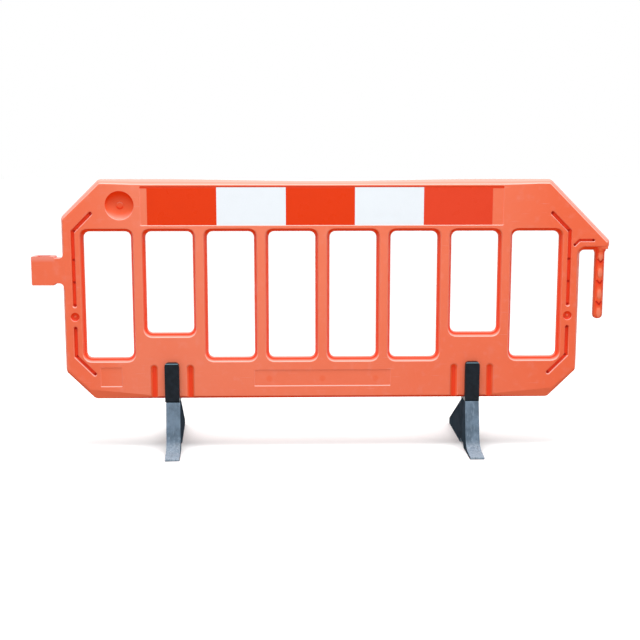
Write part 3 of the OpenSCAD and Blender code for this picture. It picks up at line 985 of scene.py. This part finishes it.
# %% [markdown]
# ## Clamps and feet
# The clamps and the feet have the right outlines as solids, but sharp edges. A copy of a solid is joined
# up, its flat faces are made whole again, and its edges are rounded. A clamp's shoulders are rounder
# than its other edges.

# %% Round the clamps
shoulder = 12 * mm
shoulder_round = 5 * mm
clamp_round = 1.6 * mm
sharp_angle = 40


def add_object(name, data):
    """Put a mesh, a lamp or a camera into the scene."""
    made = bpy.data.objects.new(name, data)
    bpy.context.collection.objects.link(made)
    return made


def solid_copy(name, node):
    """A copy of a solid, joined up and with whole flat faces."""
    piece = add_object(name, nodes[node].data.copy())
    piece.data.materials.clear()
    edit(piece)
    merge_points()
    bpy.ops.mesh.dissolve_limited(angle_limit=radians(1))
    leave()
    return piece


def soften(piece, width):
    """Round the sharp edges of a piece and smooth the rest."""
    apply(piece, "BEVEL", width=width, segments=3, limit_method="ANGLE", angle_limit=radians(sharp_angle),
          use_clamp_overlap=True, harden_normals=False)
    smooth(piece, sharp_angle)


def on_shoulder(corner):
    """Whether a corner of a clamp lies on the front or the rear of its shoulders."""
    return abs(abs(corner.co.y) - clamp_high.y) < near and corner.co.z > clamp_high.z - shoulder


for side in ("left", "right"):
    clamp = solid_copy(side + "_clamp", side + "_bracket")
    edit(clamp)
    bevel_edges(lambda edge: all(on_shoulder(corner) for corner in edge.verts), shoulder_round, 5)
    leave()
    soften(clamp, clamp_round)
    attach(clamp, "panel_frame")
    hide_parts(side + "_bracket")
    print(clamp.name, "has", len(clamp.data.polygons), "faces")

# %% [markdown]
# The foot has a sunken web in each side of its heel, with a rim round it. The right foot stands square,
# so its heel is split off with a bisect and inset there. The left foot is a copy of it, moved and turned
# to where it stands.

# %% Shape the feet
web_start = 14 * mm
web_rim = 6 * mm
web_depth = 5 * mm
web_least_area = 0.002
foot_round = 2.2 * mm
to_left = Matrix.Translation((-foot_x, 0, 0))
left_turn = Matrix.Rotation(radians(3.5), 4, "Z")


def heel_side(face):
    """Whether a face is one of the two large sides of the heel."""
    return abs(face.normal.x) > 0.99 and middle(face).y > web_start and face.calc_area() > web_least_area


def ride_foot(foot, side):
    """Let a finished foot stand for its solid."""
    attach(foot, side + "_foot")
    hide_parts(side + "_foot")
    print(foot.name, "spans", [round(size, 3) for size in foot.dimensions])


right_foot = solid_copy("right_foot_block", "right_foot")
edit(right_foot)
slice_at((0, web_start, 0), (0, 1, 0))
pick("FACE", heel_side)
bpy.ops.mesh.inset(thickness=web_rim, depth=-web_depth, use_individual=True, use_even_offset=True)
leave()
soften(right_foot, foot_round)
left_foot = add_object("left_foot_block", right_foot.data.copy())
for move in (to_left, left_turn, to_left):
    left_foot.data.transform(move)
ride_foot(right_foot, "right")
ride_foot(left_foot, "left")

# %% [markdown]
# ## Finishes
# Each finish is one principled shader, fed by a few patterns that read object coordinates, so that they
# stay on the piece wherever it moves. These helpers add one node each and wire it up.

# %% Helpers for nodes
def shader(made):
    """The principled shader of a material."""
    return made.node_tree.nodes["Principled BSDF"]


def finish(name, colour, roughness):
    """A new material with one principled shader, in a plain colour."""
    made = bpy.data.materials.new(name)
    made.use_nodes = True
    shader(made).inputs["Base Color"].default_value = (*colour, 1)
    shader(made).inputs["Roughness"].default_value = roughness
    return made


def feed(made, socket, value):
    """Set a socket to a constant, or wire the output of another node to it."""
    if isinstance(value, bpy.types.NodeSocket):
        made.node_tree.links.new(value, socket)
    else:
        socket.default_value = value


def add(made, kind, **values):
    """Add a node. A value with the name of a socket feeds it, and any other is a setting of the node."""
    node = made.node_tree.nodes.new(kind)
    for key, value in values.items():
        if key in node.inputs:
            feed(made, node.inputs[key], value)
        else:
            setattr(node, key, value)
    return node


def wire(made, socket, source):
    """Feed a socket of the principled shader."""
    feed(made, shader(made).inputs[socket], source)


def paint(piece, made):
    """Give a whole piece one finish."""
    piece.data.materials.clear()
    piece.data.materials.append(made)


print("helpers for nodes are ready")

# %% [markdown]
# Patterns come next. They are numbers that vary over the surface: a place, soft noise, a range of
# another number, or a sum or product of several.

# %% Helpers for patterns
def place_on(made):
    """The three parts of a point's place on its piece."""
    place = add(made, "ShaderNodeTexCoord").outputs["Object"]
    return add(made, "ShaderNodeSeparateXYZ", Vector=place).outputs


def spots(made, size, detail=3, stretch=(1, 1, 1)):
    """Soft noise whose patches are about as large as the given size in metres."""
    place = add(made, "ShaderNodeTexCoord").outputs["Object"]
    stretched = add(made, "ShaderNodeMapping", Vector=place, Scale=stretch).outputs["Vector"]
    return add(made, "ShaderNodeTexNoise", Vector=stretched, Scale=1 / size, Detail=detail).outputs["Fac"]


def ramp(made, source, low, high, to_low=0, to_high=1):
    """Stretch a range of a number softly to another range."""
    node = add(made, "ShaderNodeMapRange", Value=source, interpolation_type="SMOOTHSTEP")
    for key, value in (("From Min", low), ("From Max", high), ("To Min", to_low), ("To Max", to_high)):
        node.inputs[key].default_value = value
    return node.outputs["Result"]


def sums(made, how, *numbers):
    """Combine numbers by one sum."""
    node = add(made, "ShaderNodeMath", operation=how)
    for socket, value in zip(node.inputs, numbers):
        feed(made, socket, value)
    return node.outputs[0]


def size_of(made, number):
    """A number without its sign."""
    return sums(made, "ABSOLUTE", number)


def all_of(made, *shares):
    """Multiply shares, so that the product is one only where all of them are one."""
    total = shares[0]
    for share in shares[1:]:
        total = sums(made, "MULTIPLY", total, share)
    return total


print("helpers for patterns are ready")

# %% [markdown]
# Colours are mixed by the shares that the patterns give, and bumps are laid one over the other. Which
# way a surface looks is noted on the mesh as an attribute, so that a finish can paint highlights on upper
# edges and shade on undersides.

# %% Helpers for colour, bumps and direction
def blend(made, share, first, second):
    """Mix two colours, each three numbers or another node's colour."""
    node = add(made, "ShaderNodeMix", data_type="RGBA", Factor=share)
    first_colour, second_colour = [socket for socket in node.inputs if socket.type == "RGBA"]
    for socket, value in ((first_colour, first), (second_colour, second)):
        feed(made, socket, (*value, 1) if isinstance(value, tuple) else value)
    return [socket for socket in node.outputs if socket.type == "RGBA"][0]


def roughen(made, heights):
    """Raise the surface by several patterns, each with its strength and depth in metres."""
    below = {}
    for height, strength, depth in heights:
        bump = add(made, "ShaderNodeBump", Height=height, Strength=strength, Distance=depth, **below)
        below = {"Normal": bump.outputs["Normal"]}
    wire(made, "Normal", below["Normal"])


def note_facing(piece):
    """Note on the mesh which way each corner of its faces looks, so that a finish can read it."""
    parts = [part for normal in piece.data.corner_normals for part in normal.vector]
    note = piece.data.attributes.new("facing", "FLOAT_VECTOR", "CORNER")
    note.data.foreach_set("vector", parts)


def facing(made):
    """The three parts of the noted direction."""
    note = add(made, "ShaderNodeAttribute", attribute_name="facing").outputs["Vector"]
    return add(made, "ShaderNodeSeparateXYZ", Vector=note).outputs


print("helpers for colour, bumps and direction are ready")

# %% [markdown]
# ## The orange plastic
# Sun and rubbing bleach the two faces of such a panel, and a painted sheen makes them paler still. The
# upper edges get a painted highlight, the sides keep a deeper orange, and the undersides a deeper one
# still as painted shade. So the colour depends on how far out a point lies and on which way it looks.
# Besides the direction, two more attributes on the mesh mark the grooves and the pits, where painted
# shade is darkest.

# %% Note the directions and where shade is painted
groove_shade = 0.5
hollow_shade = 0.4
groove_depth = 17 * mm
mark_depth = 0.8 * mm
pit_margin = 2 * mm
pit_reach = 1.2 * pit_radius
dish_lit = 0.25
dish_fade = 0.75
note_facing(moulding)
pit_shade_note = moulding.data.attributes.new("pit", "FLOAT", "FACE")
groove_shade_note = moulding.data.attributes.new("groove", "FLOAT", "POINT")


def shade_share(face):
    """How much painted shade a face gets: one in a pit or a mark of the pin, less in a groove, a hollow or
    the dish.
    """
    depth = abs(face.center.y)
    place = Vector((face.center.x, face.center.z))
    if place.x > pin_x - pin_radius and place.y < pin_top:
        from_axis = Vector((face.center.x - pin_x, face.center.y)).length
        above_tip = place.y > pin_end + pin_radius
        return 1 if above_tip and from_axis < pin_radius - mark_depth else 0
    if depth < pit_start - pit_margin and min((place - pit).length for pit in pit_places) < pit_reach:
        return 1
    below_face = depth < half_depth - near
    if below_face and (place - dish_place).length < dish_radius:
        return groove_shade * within((dish_lit - face.normal.z) / dish_fade, 0, 1)
    from_hollow = min((place - hollow).length for hollow in hollow_places)
    if below_face and hollow_disc < from_hollow < hollow_radius - 2 * rim:
        return hollow_shade
    flat = abs(face.normal.y) > 0.6 and abs(face.normal.z) < 0.4
    return groove_shade if flat and depth < groove_depth else 0


for face in moulding.data.polygons:
    share = shade_share(face)
    pit_shade_note.data[face.index].value = 1 if share == 1 else 0
    for corner in face.vertices:
        note = groove_shade_note.data[corner]
        note.value = max(note.value, min(share, groove_shade))
print(sum(1 for note in pit_shade_note.data if note.value), "faces lie in pits")

# %% [markdown]
# The oranges are one plastic at different stages of bleaching and wear, together with lighter and darker
# copies of it that are painted light and shade. The patterns are named for what they stand for: large
# patches and clouds of fading, fine grain, the ripple of the mould and scratches along the panel.

# %% Choose the orange's colours and patterns
shade_orange = (0.86, 0.05, 0.007)
side_orange = (0.87, 0.12, 0.038)
bleached_and_sheen_orange = (0.87, 0.22, 0.122)
pale_orange = (0.87, 0.32, 0.26)
rubbed_and_highlight_orange = (0.9, 0.5, 0.43)
deepest_shade_orange = (0.72, 0.03, 0.004)
lit_facet_orange = (0.95, 0.18, 0.085)
pin_shade_orange = (0.6, 0.1, 0.04)
orange = finish("orange_plastic_finish", shade_orange, 0.42)
place = place_on(orange)
look = facing(orange)
outness = size_of(orange, place["Y"])
frontness = size_of(orange, look["Y"])
from_middle = size_of(orange, place["X"])
patches = spots(orange, 0.25, 4)
clouds = spots(orange, 0.03, 5)
grain = spots(orange, 0.0012, 2)
ripple = spots(orange, 0.05, 2)
scratches = spots(orange, 0.004, 3, (0.06, 1, 1))
print(orange.name, "starts with", len(orange.node_tree.nodes), "nodes")

# %% [markdown]
# Each layer of colour has a share that says where it shows, and most shares are products of ranges. A
# range gives where a number starts and ends to count, and sometimes the two shares there. The bleaching
# of the faces carries a painted sheen with it. It is patchy, weaker towards the right and near both ends,
# and left off the undersides, which keep painted shade. Surfaces that look up get a painted highlight.

# %% Bleach the faces with a painted sheen, and paint highlights on the upper edges
face_range = (20.5 * mm, 23.5 * mm)
underside_range = (-0.97, -0.6)
bleach_and_sheen_patches = (0.25, 0.7, 0.75, 1)
bleach_and_sheen_along = (-0.9, 0.9, 1, 0.55)
bleach_and_sheen_up = (0.2, 0.8, 0.88, 1)
bleach_and_sheen_facing = (-0.95, -0.5)
bleach_and_sheen_ends = (0.6, 0.86, 1, 0.38)
step_inner = (11 * mm, 13 * mm)
step_outer = (22 * mm, 19 * mm)
step_loss = -0.35
upward_range = (0.15, 0.7)

on_face = ramp(orange, outness, *face_range)
# Undersides get the deeper orange as painted shade.
colour = blend(orange, ramp(orange, look["Z"], *underside_range), shade_orange, side_orange)
# Paler faces: bleaching together with a painted sheen, left off the undersides.
bleach_and_sheen = all_of(orange, on_face, ramp(orange, patches, *bleach_and_sheen_patches),
                ramp(orange, place["X"], *bleach_and_sheen_along), ramp(orange, place["Z"], *bleach_and_sheen_up),
                ramp(orange, look["Z"], *bleach_and_sheen_facing), ramp(orange, from_middle, *bleach_and_sheen_ends))
colour = blend(orange, bleach_and_sheen, colour, bleached_and_sheen_orange)
# Surfaces that look up get a painted highlight, weaker on the step between the lips.
between_lips = all_of(orange, ramp(orange, outness, *step_inner), ramp(orange, outness, *step_outer))
top_highlight = all_of(orange, ramp(orange, look["Z"], *upward_range),
                sums(orange, "MULTIPLY_ADD", between_lips, step_loss, 1))
colour = blend(orange, top_highlight, colour, pale_orange)
print("bleached from", face_range[0] / mm, "mm out")

# %% [markdown]
# Wear lies over the bleaching. Lips are rubbed pale by hands and by stacking, and a painted highlight
# makes the upward-facing ones paler still. Dust settles in clouds on the faces, and dragging a panel
# leaves scratches. Three dull round spots in the long recess are a little deeper.

# %% Rub the lips and paint highlights on them, dust and scratch
lip_range = (21 * mm, 23 * mm)
lip_turn = (0.98, 0.88)
lip_upward = (0, 0.3, 0.1, 0.6)
dust_range = (0.5, 0.8, 0, 0.18)
scratch_range = (0.64, 0.8, 0, 0.35)
spot_apart = 186 * mm
spot_height = 253 * mm
spot_range = (15 * mm, 6 * mm, 0, 0.45)

# Lips: rubbing, with a painted highlight that is strongest where they look up.
on_lip = all_of(orange, ramp(orange, outness, *lip_range), ramp(orange, frontness, *lip_turn),
                ramp(orange, look["Z"], *lip_upward))
colour = blend(orange, on_lip, colour, rubbed_and_highlight_orange)
dust = all_of(orange, ramp(orange, clouds, *dust_range), on_face)
colour = blend(orange, dust, colour, pale_orange)
lines = all_of(orange, ramp(orange, scratches, *scratch_range), on_face)
colour = blend(orange, lines, colour, pale_orange)
from_outer_spot = size_of(orange, sums(orange, "SUBTRACT", from_middle, spot_apart))
spot_x = sums(orange, "MINIMUM", from_middle, from_outer_spot)
spot_z = sums(orange, "SUBTRACT", place["Z"], spot_height)
spot_square = sums(orange, "ADD", all_of(orange, spot_x, spot_x), all_of(orange, spot_z, spot_z))
from_spot = sums(orange, "POWER", spot_square, 0.5)
colour = blend(orange, ramp(orange, from_spot, *spot_range), colour, side_orange)
print("spots at 0 and", spot_apart / mm, "mm from the middle")

# %% [markdown]
# Some places get painted light and shade: painted shade on the strip under the top rim, a painted
# highlight on the top of the sleeve, painted light on the facets of the lower corners, which look down,
# and on the pin painted highlights on its ovals and painted shade on its sides. The strip and the pin
# are found by the sizes that shaped them.

# %% Paint shade and light on the rim, the sleeve, the facets and the pin
rim_low = (sheet_high.z - 1 * mm, sheet_high.z)
rim_high = (recess_high, recess_high - 1 * mm)
rim_depth = (half_depth - 0.5 * mm, half_depth - 1 * mm)
rim_ends = (recess_half, recess_half - 2 * mm)
sleeve_side = (-0.915, -0.925)
sleeve_top = (0.662, 0.678, 0, 0.6)
facet_facing = (-0.42, -0.5)
facet_front_facing = (0.7, 0.8)
facet_ends = (0.56, 0.64)
facet_top = (0.245, 0.235)
pin_start = (pin_x - 22 * mm, pin_x - 21 * mm)
pin_below = (pin_top, pin_top - root)
oval_range = (17.4 * mm, 18.8 * mm, 0, 0.8)
pin_side_range = (0.55, 0.95, 0, 0.8)

# Painted shade on the strip under the top rim.
under_rim_shade = all_of(orange, ramp(orange, place["Z"], *rim_low), ramp(orange, place["Z"], *rim_high),
                   ramp(orange, outness, *rim_depth), ramp(orange, from_middle, *rim_ends))
colour = blend(orange, under_rim_shade, colour, shade_orange)
# Painted highlight on the top of the sleeve.
sleeve_top_highlight = all_of(orange, ramp(orange, place["X"], *sleeve_side), ramp(orange, place["Z"], *sleeve_top))
colour = blend(orange, sleeve_top_highlight, colour, pale_orange)
# Painted light: a brighter orange on the facets, which look down.
facet_light = all_of(orange, ramp(orange, look["Z"], *facet_facing),
                  ramp(orange, frontness, *facet_front_facing),
                  ramp(orange, from_middle, *facet_ends), ramp(orange, place["Z"], *facet_top))
colour = blend(orange, facet_light, colour, lit_facet_orange)
on_pin = all_of(orange, ramp(orange, place["X"], *pin_start), ramp(orange, place["Z"], *pin_below))
# Painted highlights on the pin's raised ovals.
oval_highlight = all_of(orange, on_pin, ramp(orange, outness, *oval_range))
colour = blend(orange, oval_highlight, colour, bleached_and_sheen_orange)
# Painted shade on the pin's sides.
pin_side_shade = all_of(orange, on_pin, ramp(orange, size_of(orange, look["X"]), *pin_side_range))
colour = blend(orange, pin_side_shade, colour, pin_shade_orange)
print("the strip under the rim is", round((recess_high - sheet_high.z) / mm, 1), "mm high")

# %% [markdown]
# Last comes painted shade in the grooves, the hollows, the dish, the pin's marks and the pits, darkest
# in the pits and marks. Then the colour goes to the shader, with a roughness that varies in clouds, less
# gloss on what looks down, and bumps from the ripple, grain and scratches.

# %% Paint shade into the grooves and finish the orange
rough_range = (0.3, 0.7, 0.36, 0.5)
gloss_range = (-0.5, 0.1, 0, 0.25)
# Painted shade in the grooves, the hollows and the part of the dish that looks down.
groove_shade_share = add(orange, "ShaderNodeAttribute", attribute_name="groove").outputs["Fac"]
colour = blend(orange, ramp(orange, groove_shade_share, 0, groove_shade), colour, shade_orange)
# Darkest painted shade in the pits and the pin's marks.
pit_shade = add(orange, "ShaderNodeAttribute", attribute_name="pit").outputs["Fac"]
colour = blend(orange, pit_shade, colour, deepest_shade_orange)
wire(orange, "Base Color", colour)
wire(orange, "Roughness", ramp(orange, clouds, *rough_range))
wire(orange, "Specular IOR Level", ramp(orange, look["Z"], *gloss_range))
roughen(orange, [(ripple, 0.25, 1.2 * mm), (grain, 0.12, 0.12 * mm), (scratches, 0.06, 0.1 * mm)])
paint(moulding, orange)
print(orange.name, "has", len(orange.node_tree.nodes), "nodes")

# %% [markdown]
# ## The clamps' finish
# The clamps are black plastic with a satin grain, and their upper rims carry a painted highlight. The
# highlight is found by its direction: it looks up at a slant, to the front or the rear, and lies just
# below the clamp's top.

# %% Mix the black plastic
dull_black = (0.006, 0.009, 0.013)
cloudy_black = (0.012, 0.017, 0.024)
highlight_blue = (0.2, 0.38, 0.48)
highlight_most = 0.85
highlight_start = (0.15, 0.35)
highlight_end = (0.8, 0.6)
highlight_sideways = (0.5, 0.2)
highlight_height = (clamp_high.z - 2.5 * mm, clamp_high.z - 4 * mm)
black = finish("black_plastic_finish", (0.011, 0.016, 0.024), 0.32)
black_clouds = spots(black, 0.02, 4)
black_grain = spots(black, 0.0011, 2)
black_look = facing(black)
# Painted highlight on the upper rims.
rim_highlight = all_of(black, ramp(black, black_look["Z"], *highlight_start), ramp(black, black_look["Z"], *highlight_end),
                ramp(black, size_of(black, black_look["X"]), *highlight_sideways),
                ramp(black, place_on(black)["Z"], *highlight_height), highlight_most)
black_colour = blend(black, ramp(black, black_clouds, 0.3, 0.75), dull_black, cloudy_black)
black_colour = blend(black, rim_highlight, black_colour, highlight_blue)
wire(black, "Base Color", black_colour)
wire(black, "Roughness", ramp(black, black_clouds, 0.3, 0.7, 0.3, 0.45))
wire(black, "Specular IOR Level", ramp(black, black_look["Z"], 0, 0.6, 0.1, 0.2))
roughen(black, [(black_grain, 0.15, 0.12 * mm)])
for side in ("left", "right"):
    clamp = bpy.data.objects[side + "_clamp"]
    note_facing(clamp)
    paint(clamp, black)
print("clamps have", black.name)

# %% [markdown]
# ## The feet's finish
# The feet are cast from recycled plastic, so their grey is cloudy, with darker flecks and pale streaks
# that run up and down. Their sides get painted shade, and the road scuffs the lowest part of their ends
# pale.

# %% Mix the grey plastic
dark_grey = (0.075, 0.115, 0.16)
pale_grey = (0.15, 0.215, 0.29)
streak_grey = (0.25, 0.33, 0.41)
fleck_grey = (0.04, 0.06, 0.08)
side_shade_grey = (0.02, 0.03, 0.04)
scuff_grey = (0.38, 0.46, 0.54)
scuff_height = (45 * mm, 8 * mm, 0, 0.7)
scuff_streaks = (0.35, 0.6, 0.3, 1)
scuff_sideways = (0.5, 0.2)
grey = finish("grey_plastic_finish", (0.085, 0.115, 0.15), 0.5)
grey_clouds = spots(grey, 0.035, 5)
grey_flecks = spots(grey, 0.005, 3)
grey_streaks = spots(grey, 0.006, 4, (1, 1, 0.08))
sideways = size_of(grey, facing(grey)["X"])
grey_colour = blend(grey, ramp(grey, grey_clouds, 0.3, 0.7), dark_grey, pale_grey)
grey_colour = blend(grey, ramp(grey, grey_streaks, 0.5, 0.75, 0, 0.5), grey_colour, streak_grey)
grey_colour = blend(grey, ramp(grey, grey_flecks, 0.6, 0.75, 0, 0.5), grey_colour, fleck_grey)
# Painted shade on the sides of the feet.
grey_colour = blend(grey, ramp(grey, sideways, 0.5, 0.9, 0, 0.8), grey_colour, side_shade_grey)
scuffs = all_of(grey, ramp(grey, place_on(grey)["Z"], *scuff_height),
                ramp(grey, grey_streaks, *scuff_streaks), ramp(grey, sideways, *scuff_sideways))
grey_colour = blend(grey, scuffs, grey_colour, scuff_grey)
wire(grey, "Base Color", grey_colour)
wire(grey, "Roughness", ramp(grey, grey_clouds, 0.3, 0.7, 0.42, 0.6))
wire(grey, "Specular IOR Level", ramp(grey, sideways, 0.4, 0.8, 0.3, 0))
roughen(grey, [(grey_clouds, 0.2, 0.8 * mm), (grey_flecks, 0.15, 0.2 * mm)])
for foot in (left_foot, right_foot):
    note_facing(foot)
    paint(foot, grey)
print("feet have", grey.name)

# %% [markdown]
# ## The reflective sheets
# Reflective sheeting is a film over many small cells. A cell pattern a few millimetres wide shows
# faintly through the film, with soft stains from weather. The right red sheet has faded more than the
# others.

# %% Mix the sheets' finishes
cell_size = 4 * mm
cell_unevenness = 0.25
seam_range = (0.02, 0.09, 0.35, 0)
stain_range = (0.5, 0.8, 0, 0.35)
film_gloss = 0.12


def sheeting(name, colour, seam, stain):
    """Reflective film over small cells."""
    made = finish(name, colour, 0.3)
    cells = add(made, "ShaderNodeTexVoronoi", feature="DISTANCE_TO_EDGE", Scale=1 / cell_size,
                Randomness=cell_unevenness, Vector=add(made, "ShaderNodeTexCoord").outputs["Object"])
    from_seam = cells.outputs["Distance"]
    stains = spots(made, 0.06, 5)
    shade = blend(made, ramp(made, from_seam, *seam_range), colour, seam)
    shade = blend(made, ramp(made, stains, *stain_range), shade, stain)
    wire(made, "Base Color", shade)
    wire(made, "Roughness", ramp(made, stains, 0.3, 0.7, 0.26, 0.4))
    wire(made, "Specular IOR Level", film_gloss)
    roughen(made, [(from_seam, 0.06, 0.1 * mm), (stains, 0.1, 0.3 * mm)])
    return made


red = sheeting("red_sheet_finish", colour=(0.78, 0.041, 0.002),
               seam=(0.81, 0.06, 0.008), stain=(0.72, 0.038, 0.003))
faded_red = sheeting("faded_red_sheet_finish", colour=(0.78, 0.056, 0.018),
                     seam=(0.8, 0.08, 0.032), stain=(0.74, 0.046, 0.012))
white = sheeting("white_sheet_finish", colour=(0.85, 0.9, 0.945),
                 seam=(0.77, 0.83, 0.89), stain=(0.8, 0.85, 0.89))
for name, node in nodes.items():
    if "red_sheet" in name:
        paint(node, faded_red if name.endswith("right") else red)
    elif "white_sheet" in name:
        paint(node, white)
print("cells of the sheets are", cell_size / mm, "mm wide")

# %% [markdown]
# ## Zinc on the fasteners
# Bolts, washers and nuts are zinc plated: a grey metal with cloudy patches and a slightly uneven shine.

# %% Mix the zinc
dull_zinc = (0.42, 0.43, 0.45)
bright_zinc = (0.6, 0.6, 0.61)
zinc = finish("zinc_finish", (0.5, 0.5, 0.52), 0.35)
zinc_clouds = spots(zinc, 0.006, 4)
wire(zinc, "Metallic", 1)
wire(zinc, "Base Color", blend(zinc, zinc_clouds, dull_zinc, bright_zinc))
wire(zinc, "Roughness", ramp(zinc, zinc_clouds, 0.3, 0.7, 0.28, 0.45))
roughen(zinc, [(zinc_clouds, 0.1, 0.1 * mm)])
for name, node in nodes.items():
    if name.split("_")[-1] in ("bolts", "washers", "nuts"):
        paint(node, zinc)
print("fasteners have", zinc.name)

# %% [markdown]
# ## The floor
# The panel stands on a wide white floor. The floor shows white to the camera and to what mirrors, and
# throws less light back up, so that undersides stay dark.

# %% Lay the floor
floor_size = 80
floor_white = 0.93
floor_dim = 0.45


def seen(made):
    """A number that is one for what the camera, a reflection or a see-through part looks at."""
    path = add(made, "ShaderNodeLightPath").outputs
    total = path["Is Camera Ray"]
    for ray in ("Is Glossy Ray", "Is Transmission Ray"):
        total = sums(made, "MAXIMUM", total, path[ray])
    return total


floor = start("floor", bpy.ops.mesh.primitive_plane_add, size=floor_size)
floor_finish = finish("floor_finish", (floor_white,) * 3, 0.9)
wire(floor_finish, "Base Color", ramp(floor_finish, seen(floor_finish), 0, 1, floor_dim, floor_white))
wire(floor_finish, "Specular IOR Level", 0)
paint(floor, floor_finish)
print("the floor is", floor.dimensions.x, "m wide")

# %% [markdown]
# ## The light
# The light comes mostly from above and is soft. So the world itself is the main lamp: an even light all
# round and a stronger, wide glow overhead. The camera, and what mirrors, see plain white instead.

# %% Light the world
even_light = 0.45
glow = 2.1
glow_narrowness = 4
world = bpy.data.worlds.new("studio")
bpy.context.scene.world = world
world.use_nodes = True
direction = add(world, "ShaderNodeTexCoord").outputs["Generated"]
upness = add(world, "ShaderNodeSeparateXYZ", Vector=direction).outputs["Z"]
above = sums(world, "MAXIMUM", upness, 0)
overhead = sums(world, "MULTIPLY", sums(world, "POWER", above, glow_narrowness), glow)
light = sums(world, "ADD", overhead, even_light)
shown = add(world, "ShaderNodeMix", Factor=seen(world), A=light, B=1).outputs["Result"]
sky = world.node_tree.nodes["Background"].inputs
feed(world, sky["Strength"], shown)
feed(world, sky["Color"], (1, 1, 1, 1))
print("light from above is", round(even_light + glow, 2), "and from the side", even_light)

# %% [markdown]
# Two large soft lamps add some direction. The one overhead brightens the upper edges, and the one in
# front keeps the face and the feet from going dull.

# %% Hang the lamps
def soft_lamp(name, width, depth, watts, place, tilt):
    """Hang a large rectangular lamp that looks down, tilted by some degrees."""
    data = bpy.data.lights.new(name, "AREA")
    data.shape = "RECTANGLE"
    data.size = width
    data.size_y = depth
    data.energy = watts
    lamp = add_object(name, data)
    lamp.location = place
    lamp.rotation_euler = (radians(tilt), 0, 0)
    print(name, "gives", watts, "W")


soft_lamp("overhead_lamp", width=3.2, depth=0.8, watts=60, place=(0, -0.7, 3.2), tilt=0)
soft_lamp("front_lamp", width=4, depth=2, watts=44, place=(0, -5, 2.2), tilt=70)

# %% [markdown]
# ## The camera
# The camera stands in front of the panel at about its own height and looks slightly down. Its place,
# turn and lens were worked out from the edges of the eight openings.

# %% Place the camera
camera_place = (-0.0961, -3.75, 1.036)
camera_dip = 8.782
camera_turn = -1.342
camera_lens = 60.97
camera_data = bpy.data.cameras.new("camera")
camera_data.sensor_width = 36
camera_data.lens = camera_lens
camera = add_object("camera", camera_data)
camera.location = camera_place
camera.rotation_euler = (radians(90 - camera_dip), 0, radians(camera_turn))
bpy.context.scene.camera = camera
bpy.context.scene.view_settings.view_transform = "Standard"
print("camera at", camera.location)
